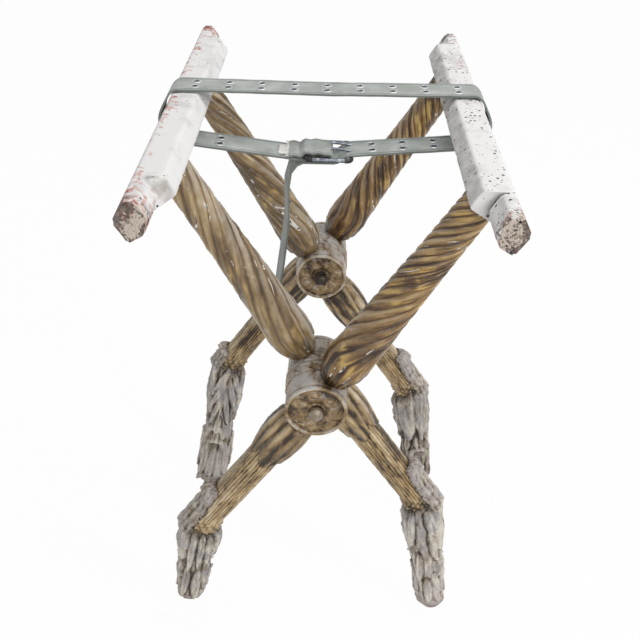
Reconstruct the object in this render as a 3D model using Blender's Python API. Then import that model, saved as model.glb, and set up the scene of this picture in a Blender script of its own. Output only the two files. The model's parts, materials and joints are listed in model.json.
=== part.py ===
"""Carved X-frame folding stool, held half open by a web belt buckled round its top rails.

The right frame is the outer one and the left frame nests inside it. Each frame is a rail, two
spiral-fluted arms, two hub knuckles with rosettes, two reeded stems and two leaf-carved feet. Both
frames turn on one iron pin in each hub, and the belt stops them from opening further.

Axes: +X right, +Y away from the front, +Z up, floor at Z = 0, metres. Each frame is modelled upright
about its hub axis and leans on an empty that stands on that axis.
"""

import math

import bmesh
import bpy
from mathutils import Matrix, Vector

# Stance
LEAN = math.radians(31.0)
STEM_LEAN = math.radians(34.0)
FOOT_LEAN = math.radians(9.5)
ARM_REACH = 0.2835
STEM_REACH = 0.236
FOOT_HEIGHT = 0.200
HUB_HEIGHT = STEM_REACH * math.cos(STEM_LEAN) + FOOT_HEIGHT

# Fits
FIT = 0.0003
PIN_FIT = 0.0001
WELD = 0.00001
CUT_MARGIN = 0.004

# Hub knuckles, one layer for each frame at each hub
KNUCKLE_RADIUS = 0.033
KNUCKLE_WIDTH = 0.047
KNUCKLE_STEPS = 24
BEAD_RISE = 0.0014
BEAD_WIDTH = 0.005
INNER_LAYER = 0.110
OUTER_LAYER = INNER_LAYER + KNUCKLE_WIDTH + FIT

# Rosette on each knuckle's free face
PETALS = 8
PETAL_RISE = 0.0022
PETAL_START = 0.0115
PETAL_END = 0.0268
ROSETTE_DEPTH = 0.0030
RIM_WIDTH = 0.0040
BOSS_RADIUS = 0.0095
BOSS_SINK = 0.0005

# Round tenons on the arms and stems
TENON_RADIUS = 0.008
TENON_LENGTH = 0.013
SADDLE_RADIUS = 0.0185

# Spiral-fluted arms
ARM_TOP_RADIUS = 0.0165
ARM_BULB_RADIUS = 0.0248
ARM_BULB_PLACE = 0.064
ARM_TAPER_POWER = 1.4
ARM_RINGS = 15
ARM_LOBES = 10
RIGHT_ARM_TURNS = 1.45
LEFT_ARM_TURNS = 0.65
ARM_TWIST_POWER = 1.4
FLUTE_DEPTH = 0.0019

# Reeded stems with a leaf collar below the hub
STEM_RADIUS = 0.0182
COLLAR_RADIUS = 0.0222
COLLAR_PLACE = 0.066
REEDS = 12
REED_DEPTH = 0.0011
STEM_RINGS = 6

# Leaf-carved feet
FOOT_STEPS = 20
FOOT_RIB_SHARE = 0.07
FOOT_KNEE_WIDTH = 0.049
FOOT_WAIST_WIDTH = 0.041
FOOT_SWELL_WIDTH = 0.046
FOOT_PAD_WIDTH = 0.032
FOOT_DEPTH_SHARE = 0.88
LEAF_RISE = 0.061
LEAF_WIDTH = 0.036
LEAF_THICKNESS = 0.0134
LEAF_CLEARANCE = 0.0004
LEAF_STEPS = 10
SCROLL_RADIUS = 0.0105
SCROLL_WIDTH = 0.036
SCROLL_DROP = 0.112
SCROLL_SINK = 0.0075
SCROLL_STEPS = 12

# House-section top rails, off centre on the arms, with shouldered and chamfered ends
RAIL_LENGTH = 0.500
RAIL_INNER = 0.0255
RAIL_OUTER = 0.0140
RAIL_RIDGE_X = -0.0030
RAIL_RIDGE = 0.0332
RAIL_STUB_INNER = 0.0125
RAIL_STUB_LENGTH = 0.042
RAIL_CHAMFER = 0.0095

# Iron pivots
PIN_RADIUS = 0.005
PIN_HEAD_RADIUS = 0.0075
PIN_HEAD_RISE = 0.0045
PIN_HEAD_EDGE = 0.001
PIN_STEPS = 24
PIN_END = 0.0015
WASHER_RADIUS = 0.0090
WASHER_THICKNESS = 0.0012
NUT_SIDE = 0.0130
NUT_THICKNESS = 0.0055

# Web belt and its buckle
STRAP_WIDTH = 0.038
STRAP_THICKNESS = 0.002
STRAP_UPPER_Y = 0.020
STRAP_LOWER_Y = -0.018
STRAP_SAG = 0.012
STRAP_FOLD_LENGTH = 0.042
STRAP_LAYER_GAP = 0.0006
STRAP_ARC_STEPS = 4
BUCKLE_BAR_X = 0.004
BUCKLE_REACH_RIGHT = 0.0235
BUCKLE_REACH_LEFT = 0.0230
BUCKLE_WIRE_RADIUS = 0.002
BUCKLE_SIDE_GAP = 0.003
BUCKLE_CORNER = 0.004
BUCKLE_SIDES = 8
TAIL_START = 0.0265
TAIL_DROPS = (
    (0.033, 0.003),
    (0.0385, 0.012),
    (0.0415, 0.032),
    (0.0415, 0.075),
    (0.0445, 0.120),
    (0.0490, 0.165),
)

# Derived from the sizes above
SHOULDER_MIDDLE = (TENON_RADIUS + SADDLE_RADIUS) / 2
RAIL_INNER_SIDE = RAIL_RIDGE - (RAIL_INNER + RAIL_RIDGE_X) * math.tan(LEAN)
RAIL_OUTER_SIDE = RAIL_RIDGE - (RAIL_OUTER - RAIL_RIDGE_X) * math.tan(LEAN)
STRAP_OFFSET = FIT + STRAP_THICKNESS / 2
BUCKLE_OFFSET = BUCKLE_WIRE_RADIUS + STRAP_OFFSET


def clear_scene():
    for obj in list(bpy.data.objects):
        bpy.data.objects.remove(obj, do_unlink=True)


def material(name, colour, roughness, metallic=0.0):
    mat = bpy.data.materials.new(name)
    mat.use_nodes = True
    shader = mat.node_tree.nodes["Principled BSDF"]
    shader.inputs["Base Color"].default_value = (*colour, 1.0)
    shader.inputs["Roughness"].default_value = roughness
    shader.inputs["Metallic"].default_value = metallic
    return mat


def faced_out(bm):
    """Turns every face of a closed bmesh outwards."""
    bm.normal_update()
    bmesh.ops.recalc_face_normals(bm, faces=bm.faces[:])
    return bm


def turned(profile, steps, closed=False):
    """Spins a profile of (radius, height) points once round Z; a closed profile makes a ring."""
    bm = bmesh.new()
    verts = [bm.verts.new((radius, 0.0, height)) for radius, height in profile]
    edges = [bm.edges.new(pair) for pair in zip(verts, verts[1:])]
    if closed:
        edges.append(bm.edges.new((verts[-1], verts[0])))
    bmesh.ops.spin(
        bm, geom=verts + edges, cent=(0, 0, 0), axis=(0, 0, 1), angle=math.tau, steps=steps, use_merge=True
    )
    bmesh.ops.remove_doubles(bm, verts=bm.verts[:], dist=WELD)
    return faced_out(bm)


def rod(radius, start, end, steps):
    """A plain round bar along Z, as a bmesh."""
    return turned(((0, start), (radius, start), (radius, end), (0, end)), steps)


def lofted(rings):
    """Bridges rings of equal point counts and closes both ends."""
    bm = bmesh.new()
    rows = [[bm.verts.new(point) for point in ring] for ring in rings]
    for lower, upper in zip(rows, rows[1:]):
        for i in range(len(lower)):
            j = (i + 1) % len(lower)
            bm.faces.new((lower[i], lower[j], upper[j], upper[i]))
    bm.faces.new(rows[0])
    bm.faces.new(rows[-1])
    return faced_out(bm)


def prism(outline, start, end):
    """Extrudes an outline of (x, z) points along Y."""
    return lofted([[(x, y, z) for x, z in outline] for y in (start, end)])


def merged(parts):
    """One bmesh that holds several bodies, for a cutter."""
    mesh = bpy.data.meshes.new("bodies")
    total = bmesh.new()
    for part in parts:
        part.to_mesh(mesh)
        part.free()
        total.from_mesh(mesh)
    bpy.data.meshes.remove(mesh)
    return total


def face_along_y(bm, facing):
    """Turns a piece made along Z so that its top faces the front (-1) or the back (+1)."""
    bm.transform(Matrix.Rotation(-facing * math.pi / 2, 4, "X"))
    return bm


def mirrored(bm, side):
    """Mirrors a piece of the right frame for the left one."""
    if side < 0:
        bm.transform(Matrix.Scale(-1, 4, (1, 0, 0)))
        faced_out(bm)
    return bm


def place(name, bm, mat, parent=None, location=(0, 0, 0), turn=0.0):
    """Makes a named object of a bmesh, turned about Y and set under its parent."""
    mesh = bpy.data.meshes.new(name)
    bm.to_mesh(mesh)
    bm.free()
    mesh.shade_smooth()
    mesh.set_sharp_from_angle(angle=math.radians(40))
    if mat:
        mesh.materials.append(mat)
    obj = bpy.data.objects.new(name, mesh)
    bpy.context.scene.collection.objects.link(obj)
    obj.parent = parent
    obj.location = location
    obj.rotation_euler = (0, turn, 0)
    return obj


def combine(target, bm, operation):
    """Cuts a hidden shape from a piece, or joins it on; the shape shares the piece's own axes."""
    name = f"{target.name}_{operation.lower()}_{len(target.modifiers)}"
    shape = place(name, bm, None, target.parent, target.location, target.rotation_euler.y)
    shape.hide_render = True
    shape.display_type = "WIRE"
    boolean = target.modifiers.new(name, "BOOLEAN")
    boolean.operation = operation
    boolean.object = shape
    boolean.solver = "EXACT"


def empty(name, location, turn):
    obj = bpy.data.objects.new(name, None)
    obj.location = location
    obj.rotation_euler = (0, turn, 0)
    bpy.context.scene.collection.objects.link(obj)
    return obj


def seat_on_knuckle(bm, direction):
    """Shapes the tenon shoulder to the round of the knuckle that it stands on."""
    seat = KNUCKLE_RADIUS + FIT
    for vert in bm.verts:
        if abs(vert.co.z * direction - KNUCKLE_RADIUS) < WELD:
            vert.co.z = direction * math.sqrt(seat**2 - vert.co.x**2)


def saddle_profile():
    """Tenon and shoulder at the knuckle end of an arm or stem, from the axis outwards."""
    tip = KNUCKLE_RADIUS - TENON_LENGTH + FIT
    shoulder = [(radius, KNUCKLE_RADIUS) for radius in (TENON_RADIUS, SHOULDER_MIDDLE, SADDLE_RADIUS)]
    return [(0, tip), (TENON_RADIUS, tip)] + shoulder


def flute(bm, count, depth):
    """Draws the surface outside the tenons and their shoulders in along count grooves."""
    for vert in bm.verts:
        radius = math.hypot(vert.co.x, vert.co.y)
        if radius < SHOULDER_MIDDLE + WELD:
            continue
        groove = (0.5 + 0.5 * math.cos(count * math.atan2(vert.co.y, vert.co.x))) ** 2
        share = 1 - depth * groove / radius
        vert.co.x *= share
        vert.co.y *= share


def twist(bm, angle_at):
    for vert in bm.verts:
        vert.co.rotate(Matrix.Rotation(angle_at(vert.co.z), 3, "Z"))


def arm(turns):
    """Club-shaped arm with lobes that run straight over its bulb and then wind up to the rail."""
    top = ARM_REACH - FIT
    profile = saddle_profile()
    for share in (0.35, 0.7):
        rise = math.sin(share * math.pi / 2)
        radius = SADDLE_RADIUS + (ARM_BULB_RADIUS - SADDLE_RADIUS) * rise
        profile.append((radius, KNUCKLE_RADIUS + (ARM_BULB_PLACE - KNUCKLE_RADIUS) * share**1.5))
    for ring in range(ARM_RINGS + 1):
        share = ring / ARM_RINGS
        swell = (ARM_BULB_RADIUS - ARM_TOP_RADIUS) * (1 - share) ** ARM_TAPER_POWER
        profile.append((ARM_TOP_RADIUS + swell, ARM_BULB_PLACE + (top - ARM_BULB_PLACE) * share))
    tip = ARM_REACH + TENON_LENGTH - FIT
    profile += [(TENON_RADIUS, top), (TENON_RADIUS, tip), (0, tip)]
    bm = turned(profile, ARM_LOBES * 3)
    flute(bm, ARM_LOBES, FLUTE_DEPTH)

    def wind(height):
        share = max(0.0, (height - ARM_BULB_PLACE) / (top - ARM_BULB_PLACE))
        return math.tau * turns * share**ARM_TWIST_POWER

    twist(bm, wind)
    seat_on_knuckle(bm, 1)
    return bm


def knuckle(facing):
    """Hub block with a bead round its mating edge and a rosette carved into its free face."""
    free = KNUCKLE_WIDTH / 2
    floor = free - ROSETTE_DEPTH
    bore = PIN_RADIUS + PIN_FIT
    rim_inner = KNUCKLE_RADIUS - RIM_WIDTH
    bead = KNUCKLE_RADIUS + BEAD_RISE
    middle = (PETAL_START + PETAL_END) / 2
    profile = [
        (bore, free - BOSS_SINK),
        (BOSS_RADIUS, free - BOSS_SINK),
        (PETAL_START, floor),
        (middle, floor),
        (PETAL_END, floor),
        (rim_inner, floor),
        (rim_inner + RIM_WIDTH / 3, free),
        (KNUCKLE_RADIUS - RIM_WIDTH / 4, free),
        (KNUCKLE_RADIUS, free - RIM_WIDTH / 3),
        (KNUCKLE_RADIUS, BEAD_WIDTH - free),
        (bead, 0.75 * BEAD_WIDTH - free),
        (bead, 0.25 * BEAD_WIDTH - free),
        (KNUCKLE_RADIUS, -free),
        (bore, -free),
    ]
    bm = turned(profile, KNUCKLE_STEPS, closed=True)
    for vert in bm.verts:
        radius = math.hypot(vert.co.x, vert.co.y)
        if abs(vert.co.z - floor) < WELD and radius < PETAL_END + WELD:
            petal = 0.5 - 0.5 * math.cos(PETALS * math.atan2(vert.co.y, vert.co.x))
            share = 1 - abs(radius - middle) / (PETAL_END - PETAL_START)
            vert.co.z += PETAL_RISE * petal * share
    return face_along_y(bm, facing)


def knuckle_mortises(bend):
    """Two blind holes for the tenons of the arm above and the stem below, which is turned by bend."""
    start = KNUCKLE_RADIUS - TENON_LENGTH
    end = KNUCKLE_RADIUS + CUT_MARGIN
    radius = TENON_RADIUS + FIT
    lower = rod(radius, -end, -start, PIN_STEPS)
    lower.transform(Matrix.Rotation(bend, 4, "Y"))
    return merged((rod(radius, start, end, PIN_STEPS), lower))


def stem():
    """Straight lower leg: a leaf collar below the hub, then fine reeds down to the knee."""
    end = STEM_REACH - FIT
    profile = saddle_profile()
    husk = (KNUCKLE_RADIUS + COLLAR_PLACE) / 2
    profile += [((SADDLE_RADIUS + COLLAR_RADIUS) / 2, husk), (COLLAR_RADIUS, COLLAR_PLACE)]
    start = COLLAR_PLACE + 2 * (COLLAR_RADIUS - STEM_RADIUS)
    for ring in range(STEM_RINGS + 1):
        profile.append((STEM_RADIUS, start + (end - start) * ring / STEM_RINGS))
    tip = STEM_REACH + TENON_LENGTH - FIT
    profile += [(TENON_RADIUS, end), (TENON_RADIUS, tip), (0, tip)]
    bm = turned([(radius, -height) for radius, height in profile], REEDS * 2)
    flute(bm, REEDS, REED_DEPTH)
    seat_on_knuckle(bm, -1)
    return bm


def foot_width(share):
    """Width of the foot across X at a share of the way from knee to floor."""
    stations = (
        (0.0, FOOT_KNEE_WIDTH),
        (0.22, FOOT_KNEE_WIDTH),
        (0.46, FOOT_WAIST_WIDTH),
        (0.58, FOOT_SWELL_WIDTH),
        (0.70, FOOT_WAIST_WIDTH),
        (0.84, FOOT_WAIST_WIDTH),
        (1.0, FOOT_PAD_WIDTH),
    )
    for (start, narrow), (end, wide) in zip(stations, stations[1:]):
        if share <= end:
            blend = (share - start) / (end - start)
            return narrow + (wide - narrow) * (0.5 - 0.5 * math.cos(math.pi * blend))
    return FOOT_PAD_WIDTH


def foot_body(toe_shift):
    """Ribbed foot from the slanted face under the stem to its flat pad, which stands toe_shift along Y."""
    rings = []
    for share in (0.0, 0.12, 0.24, 0.36, 0.46, 0.52, 0.58, 0.64, 0.70, 0.82, 0.93, 1.0):
        half = foot_width(share) / 2
        slant = math.tan(STEM_LEAN) * (1 - share) ** 4
        centre = -FOOT_HEIGHT * share * math.tan(FOOT_LEAN)
        ring = []
        for step in range(FOOT_STEPS):
            angle = math.tau * step / FOOT_STEPS
            reach = half * (1 - FOOT_RIB_SHARE * (step % 2))
            x = centre + reach * math.cos(angle)
            y = toe_shift * share + FOOT_DEPTH_SHARE * reach * math.sin(angle)
            ring.append((x, y, -FOOT_HEIGHT * share - (x - centre) * slant))
        rings.append(ring)
    return lofted(rings)


def foot_leaf():
    """Leaf that rises from the knee along the stem's outer side and curls over at its tip."""
    along = Vector((math.sin(STEM_LEAN), 0, math.cos(STEM_LEAN)))
    outward = Vector((-math.cos(STEM_LEAN), 0, math.sin(STEM_LEAN)))
    across = Vector((0, 1, 0))
    inner_edge = STEM_RADIUS + LEAF_CLEARANCE
    stations = ((-0.35, 0.4, 0.9), (0, 0.6, 1), (0.4, 0.7, 0.95), (0.75, 0.9, 0.75), (1.0, 1.0, 0.55))
    rings = []
    for share, thick, wide in stations:
        half = LEAF_THICKNESS * thick / 2
        centre = along * LEAF_RISE * share + outward * (inner_edge + half)
        ring = []
        for step in range(LEAF_STEPS):
            angle = math.tau * step / LEAF_STEPS
            ring.append(
                centre + outward * half * math.cos(angle) + across * wide * LEAF_WIDTH / 2 * math.sin(angle)
            )
        rings.append(ring)
    return lofted(rings)


def foot_scroll(toe_shift):
    """Rolled leaf end across the outer side of a foot whose pad stands toe_shift along Y."""
    half = SCROLL_WIDTH / 2
    edge = 0.2 * SCROLL_RADIUS
    profile = (
        (0, -half),
        (SCROLL_RADIUS - edge, -half),
        (SCROLL_RADIUS, edge - half),
        (SCROLL_RADIUS, half - edge),
        (SCROLL_RADIUS - edge, half),
        (0, half),
    )
    bm = face_along_y(turned(profile, SCROLL_STEPS), -1)
    share = SCROLL_DROP / FOOT_HEIGHT
    outer = SCROLL_DROP * math.tan(FOOT_LEAN) + foot_width(share) / 2
    bm.transform(Matrix.Translation((SCROLL_SINK - outer, toe_shift * share, -SCROLL_DROP)))
    return bm


def stem_socket():
    """Hole in the foot for the stem's lower tenon."""
    bm = rod(TENON_RADIUS + FIT, -TENON_LENGTH, CUT_MARGIN, PIN_STEPS)
    bm.transform(Matrix.Rotation(STEM_LEAN, 4, "Y"))
    return bm


def rail_outline():
    """House section on the arms' shoulders, whose inner slope is level as the stool stands."""
    return (
        (-RAIL_INNER, 0),
        (RAIL_OUTER, 0),
        (RAIL_OUTER, RAIL_OUTER_SIDE),
        (RAIL_RIDGE_X, RAIL_RIDGE),
        (-RAIL_INNER, RAIL_INNER_SIDE),
    )


def rail_cuts(arm_layer):
    """Shoulder on the inner side and chamfer under it at both ends, and a mortise over each arm."""
    inner, low, high = -RAIL_INNER - CUT_MARGIN, -CUT_MARGIN, RAIL_RIDGE + CUT_MARGIN
    chamfer_end = RAIL_CHAMFER - RAIL_STUB_INNER
    outline = (
        (inner, low),
        (chamfer_end + CUT_MARGIN, low),
        (chamfer_end, 0),
        (-RAIL_STUB_INNER, RAIL_CHAMFER),
        (-RAIL_STUB_INNER, high),
        (inner, high),
    )
    parts = []
    for end in (-1, 1):
        stop = end * (RAIL_LENGTH / 2 - RAIL_STUB_LENGTH)
        parts.append(prism(outline, stop, end * (RAIL_LENGTH / 2 + CUT_MARGIN)))
        hole = rod(TENON_RADIUS + FIT, -CUT_MARGIN, TENON_LENGTH, PIN_STEPS)
        hole.transform(Matrix.Translation((0, end * arm_layer, 0)))
        parts.append(hole)
    return merged(parts)


def build_frame(name, side, layer, finishes):
    """One frame: side is +1 for the right rail and -1 for the left, layer is its knuckles' plane."""
    pivot = empty(f"{name}_frame_pivot", (0, 0, HUB_HEIGHT), side * LEAN)
    turns = RIGHT_ARM_TURNS if side > 0 else LEFT_ARM_TURNS
    bend = side * (STEM_LEAN - LEAN)
    rail_at = (0, 0, ARM_REACH)
    rail = place(f"{name}_rail", mirrored(prism(rail_outline(), -RAIL_LENGTH / 2, RAIL_LENGTH / 2), side),
                 finishes["rail"], pivot, rail_at)
    combine(rail, mirrored(rail_cuts(layer), side), "DIFFERENCE")
    for where, end in (("near", -1), ("far", 1)):
        y = end * layer
        facing = end if layer == OUTER_LAYER else -end
        place(f"{name}_arm_{where}", arm(-end * turns), finishes["arm"], pivot, (0, y, 0))
        hub = place(f"{name}_knuckle_{where}", knuckle(facing), finishes["knuckle"], pivot, (0, y, 0))
        combine(hub, knuckle_mortises(bend), "DIFFERENCE")
        place(f"{name}_stem_{where}", stem(), finishes["stem"], pivot, (0, y, 0), bend)
        toe_shift = end * (INNER_LAYER - layer)
        foot = place(f"{name}_foot_{where}", mirrored(foot_body(toe_shift), side), finishes["foot"], pivot,
                     (-STEM_REACH * math.sin(bend), y, -STEM_REACH * math.cos(bend)), -side * LEAN)
        combine(foot, mirrored(foot_leaf(), side), "UNION")
        combine(foot, mirrored(foot_scroll(toe_shift), side), "UNION")
        combine(foot, mirrored(stem_socket(), side), "DIFFERENCE")


def build_pivot(where, end, iron, axis):
    """Pin with its head on the outer rosette, and a washer and nut on the inner one."""
    outer = OUTER_LAYER + KNUCKLE_WIDTH / 2
    inner = INNER_LAYER - KNUCKLE_WIDTH / 2
    seat = inner - FIT
    nut_face = seat - WASHER_THICKNESS - FIT
    tail = nut_face - NUT_THICKNESS - PIN_END
    head_seat = outer + FIT
    head_edge = head_seat + PIN_HEAD_EDGE
    head = [(PIN_RADIUS, head_seat), (PIN_HEAD_RADIUS, head_seat)]
    head += [
        (PIN_HEAD_RADIUS * math.cos(a), head_edge + (PIN_HEAD_RISE - PIN_HEAD_EDGE) * math.sin(a))
        for a in (0, math.pi / 6, math.pi / 3)
    ]
    profile = [(0, tail), (PIN_RADIUS * 0.8, tail), (PIN_RADIUS, tail + PIN_END)] + head
    profile.append((0, head_seat + PIN_HEAD_RISE))
    bore = PIN_RADIUS + PIN_FIT
    washer = ((bore, -WASHER_THICKNESS), (WASHER_RADIUS, -WASHER_THICKNESS), (WASHER_RADIUS, 0), (bore, 0))
    place(f"pin_{where}", face_along_y(turned(profile, PIN_STEPS), end), iron, axis)
    place(f"washer_{where}", face_along_y(turned(washer, PIN_STEPS, closed=True), end), iron, axis,
          (0, end * seat, 0))
    square = face_along_y(rod(NUT_SIDE / math.sqrt(2), -NUT_THICKNESS, 0, 4), end)
    block = place(f"nut_{where}", square, iron, axis, (0, end * nut_face, 0))
    hole = rod(bore, -NUT_THICKNESS - CUT_MARGIN, CUT_MARGIN, PIN_STEPS)
    combine(block, face_along_y(hole, end), "DIFFERENCE")


def rail_corner(side, x, height):
    """A corner of a rail's section, in the stool's own X and Z."""
    reach = ARM_REACH + height
    return Vector((
        side * (x * math.cos(LEAN) + reach * math.sin(LEAN)),
        HUB_HEIGHT + reach * math.cos(LEAN) - x * math.sin(LEAN),
    ))


def bend(corner, before, after, radius):
    """Points round a corner that the belt passes clockwise, from one direction of travel to the next."""
    start = math.atan2(before.x, -before.y)
    turn = (start - math.atan2(after.x, -after.y)) % math.tau
    return [
        corner + radius * Vector((math.cos(start - turn * i / STRAP_ARC_STEPS),
                                  math.sin(start - turn * i / STRAP_ARC_STEPS)))
        for i in range(STRAP_ARC_STEPS + 1)
    ]


def strap_route():
    """(x, y, z) points along the belt: sewn fold, lower left run, both rails, lower right run, tail."""
    corners = ((RAIL_RIDGE_X, RAIL_RIDGE), (RAIL_OUTER, RAIL_OUTER_SIDE), (RAIL_OUTER, 0))
    right = [rail_corner(1, x, h) for x, h in corners]
    left = [rail_corner(-1, x, h) for x, h in reversed(corners)]
    buckle_z = right[2].y - STRAP_OFFSET - STRAP_SAG
    heel = Vector((BUCKLE_BAR_X, buckle_z))
    toe = Vector((BUCKLE_BAR_X + BUCKLE_REACH_RIGHT, buckle_z))
    east = Vector((1, 0))
    clear = BUCKLE_REACH_LEFT + BUCKLE_OFFSET
    run_start = heel - Vector((clear, BUCKLE_OFFSET))
    to_left = (left[0] - Vector((0, STRAP_OFFSET)) - run_start).normalized()
    to_buckle = (toe - right[2]).normalized()
    sides_left = [(left[1] - left[0]).normalized(), (left[2] - left[1]).normalized()]
    sides_right = [(right[1] - right[0]).normalized(), (right[2] - right[1]).normalized()]
    layer = Vector((0, STRAP_THICKNESS + STRAP_LAYER_GAP))
    lower = [run_start + to_left * reach + layer for reach in (STRAP_FOLD_LENGTH - clear, BUCKLE_OFFSET)]
    lower.append(heel + Vector((-BUCKLE_REACH_LEFT - STRAP_OFFSET, BUCKLE_OFFSET)))
    lower += bend(heel, east, -east, BUCKLE_OFFSET)
    lower.append(run_start)
    lower += bend(left[0], to_left, sides_left[0], STRAP_OFFSET)
    corner_left = bend(left[1], sides_left[0], sides_left[1], STRAP_OFFSET)
    upper = bend(left[2], sides_left[1], east, STRAP_OFFSET)
    upper += bend(right[0], east, sides_right[0], STRAP_OFFSET)
    corner_right = bend(right[1], sides_right[0], sides_right[1], STRAP_OFFSET)
    under = BUCKLE_OFFSET + STRAP_THICKNESS + STRAP_LAYER_GAP
    back = bend(right[2], sides_right[1], to_buckle, STRAP_OFFSET)
    back.append(toe + Vector((0, BUCKLE_OFFSET)))
    back.append(toe + Vector((-0.3 * BUCKLE_REACH_RIGHT, 0.2 * BUCKLE_OFFSET)))
    back.append(heel + Vector((0.45 * BUCKLE_REACH_RIGHT, -0.75 * under)))
    back.append(heel + Vector((0.25 * BUCKLE_REACH_RIGHT, -under)))
    back.append(heel + Vector((-TAIL_START, -under)))
    back += [heel + Vector((-x, -under - drop)) for x, drop in TAIL_DROPS]
    middle_y = (STRAP_UPPER_Y + STRAP_LOWER_Y) / 2
    route = []
    for points, y in (
        (lower, STRAP_LOWER_Y),
        (corner_left, middle_y),
        (upper, STRAP_UPPER_Y),
        (corner_right, middle_y),
        (back, STRAP_LOWER_Y),
    ):
        route += [Vector((p.x, y, p.y)) for p in points]
    return route, heel


def build_strap(route, webbing, axis):
    """The belt as one strip of webbing along its route."""
    bm = bmesh.new()
    verts = [bm.verts.new(p - Vector((0, STRAP_WIDTH / 2, HUB_HEIGHT))) for p in route]
    edges = [bm.edges.new(pair) for pair in zip(verts, verts[1:])]
    strip = bmesh.ops.extrude_edge_only(bm, edges=edges)["geom"]
    moved = [item for item in strip if isinstance(item, bmesh.types.BMVert)]
    bmesh.ops.translate(bm, verts=moved, vec=(0, STRAP_WIDTH, 0))
    strap = place("strap", bm, webbing, axis)
    thick = strap.modifiers.new("thickness", "SOLIDIFY")
    thick.thickness = STRAP_THICKNESS
    thick.offset = 0
    thick.use_even_offset = True


def wire_loop(corners, radius, sides):
    """Bends a round wire into a closed level loop through the corners."""
    bm = bmesh.new()
    up = Vector((0, 0, 1))
    rings = []
    for before, corner, after in zip(corners[-1:] + corners[:-1], corners, corners[1:] + corners[:1]):
        out = (after - before).normalized().cross(up)
        angles = [math.tau * side / sides for side in range(sides)]
        rings.append([bm.verts.new(corner + radius * (out * math.cos(a) + up * math.sin(a))) for a in angles])
    for ring, onward in zip(rings, rings[1:] + rings[:1]):
        for i in range(sides):
            j = (i + 1) % sides
            bm.faces.new((ring[i], ring[j], onward[j], onward[i]))
    return faced_out(bm)


def build_buckle(heel, steel, axis):
    """Wire frame wider than the belt, with a bar across it that the sewn fold goes round."""
    half_y = STRAP_WIDTH / 2 + BUCKLE_SIDE_GAP + BUCKLE_WIRE_RADIUS
    bar = Vector((heel.x, STRAP_LOWER_Y, heel.y - HUB_HEIGHT))
    corners = []
    for turn, (x, y) in enumerate(((1, 1), (-1, 1), (-1, -1), (1, -1))):
        reach = BUCKLE_REACH_RIGHT if x > 0 else BUCKLE_REACH_LEFT
        bend_at = bar + Vector((x * (reach - BUCKLE_CORNER), y * (half_y - BUCKLE_CORNER), 0))
        for step in range(3):
            angle = math.pi / 2 * (turn + step / 2)
            corners.append(bend_at + BUCKLE_CORNER * Vector((math.cos(angle), math.sin(angle), 0)))
    frame = place("buckle_frame", wire_loop(corners, BUCKLE_WIRE_RADIUS, BUCKLE_SIDES), steel, axis)
    cross_bar = face_along_y(rod(BUCKLE_WIRE_RADIUS, -half_y, half_y, BUCKLE_SIDES), 1)
    cross_bar.transform(Matrix.Translation(bar))
    combine(frame, cross_bar, "UNION")


def main():
    clear_scene()
    finishes = {
        "rail": material("worn_gesso", (0.66, 0.62, 0.57), 0.85),
        "arm": material("aged_gilding", (0.27, 0.17, 0.06), 0.42, 0.35),
        "knuckle": material("rubbed_gilding", (0.25, 0.18, 0.10), 0.55, 0.2),
        "stem": material("dull_gilding", (0.24, 0.18, 0.10), 0.6, 0.15),
        "foot": material("grey_ground", (0.30, 0.28, 0.25), 0.75),
    }
    build_frame("right", 1, OUTER_LAYER, finishes)
    build_frame("left", -1, INNER_LAYER, finishes)
    axis = empty("hub_axis", (0, 0, HUB_HEIGHT), 0.0)
    iron = material("old_iron", (0.12, 0.10, 0.08), 0.5, 0.8)
    for where, end in (("near", -1), ("far", 1)):
        build_pivot(where, end, iron, axis)
    route, heel = strap_route()
    build_strap(route, material("web_canvas", (0.30, 0.33, 0.25), 0.9), axis)
    build_buckle(heel, material("blued_steel", (0.10, 0.11, 0.13), 0.3, 1.0), axis)


main()
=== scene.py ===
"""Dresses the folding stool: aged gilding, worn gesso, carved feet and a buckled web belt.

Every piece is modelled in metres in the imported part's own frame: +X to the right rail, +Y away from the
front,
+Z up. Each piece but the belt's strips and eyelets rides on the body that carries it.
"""

import bisect
import json
import logging
import math
from collections.abc import Callable, Sequence
from dataclasses import dataclass, field
from enum import Enum
from typing import NamedTuple, Union

import bmesh
import bpy
from mathutils import Matrix, Vector, noise

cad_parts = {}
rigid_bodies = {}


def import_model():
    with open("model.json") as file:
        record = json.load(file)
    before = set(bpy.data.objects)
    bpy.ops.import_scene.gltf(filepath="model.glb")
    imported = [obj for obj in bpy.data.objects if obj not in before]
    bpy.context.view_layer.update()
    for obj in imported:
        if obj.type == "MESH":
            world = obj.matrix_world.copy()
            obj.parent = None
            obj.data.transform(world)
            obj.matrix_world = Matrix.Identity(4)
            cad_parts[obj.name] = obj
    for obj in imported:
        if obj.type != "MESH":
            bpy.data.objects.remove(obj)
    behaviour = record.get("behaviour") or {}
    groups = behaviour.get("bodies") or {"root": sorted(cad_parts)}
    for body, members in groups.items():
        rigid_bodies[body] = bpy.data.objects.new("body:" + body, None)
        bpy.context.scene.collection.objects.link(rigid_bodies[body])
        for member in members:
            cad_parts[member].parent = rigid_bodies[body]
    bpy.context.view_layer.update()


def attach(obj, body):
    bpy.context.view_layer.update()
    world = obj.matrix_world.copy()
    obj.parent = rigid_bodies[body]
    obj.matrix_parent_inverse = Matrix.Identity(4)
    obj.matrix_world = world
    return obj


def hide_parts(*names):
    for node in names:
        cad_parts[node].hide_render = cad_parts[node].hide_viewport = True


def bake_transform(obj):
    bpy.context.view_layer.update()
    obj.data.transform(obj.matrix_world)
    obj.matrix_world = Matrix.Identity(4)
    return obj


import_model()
LOG = logging.getLogger("stool")

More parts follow.
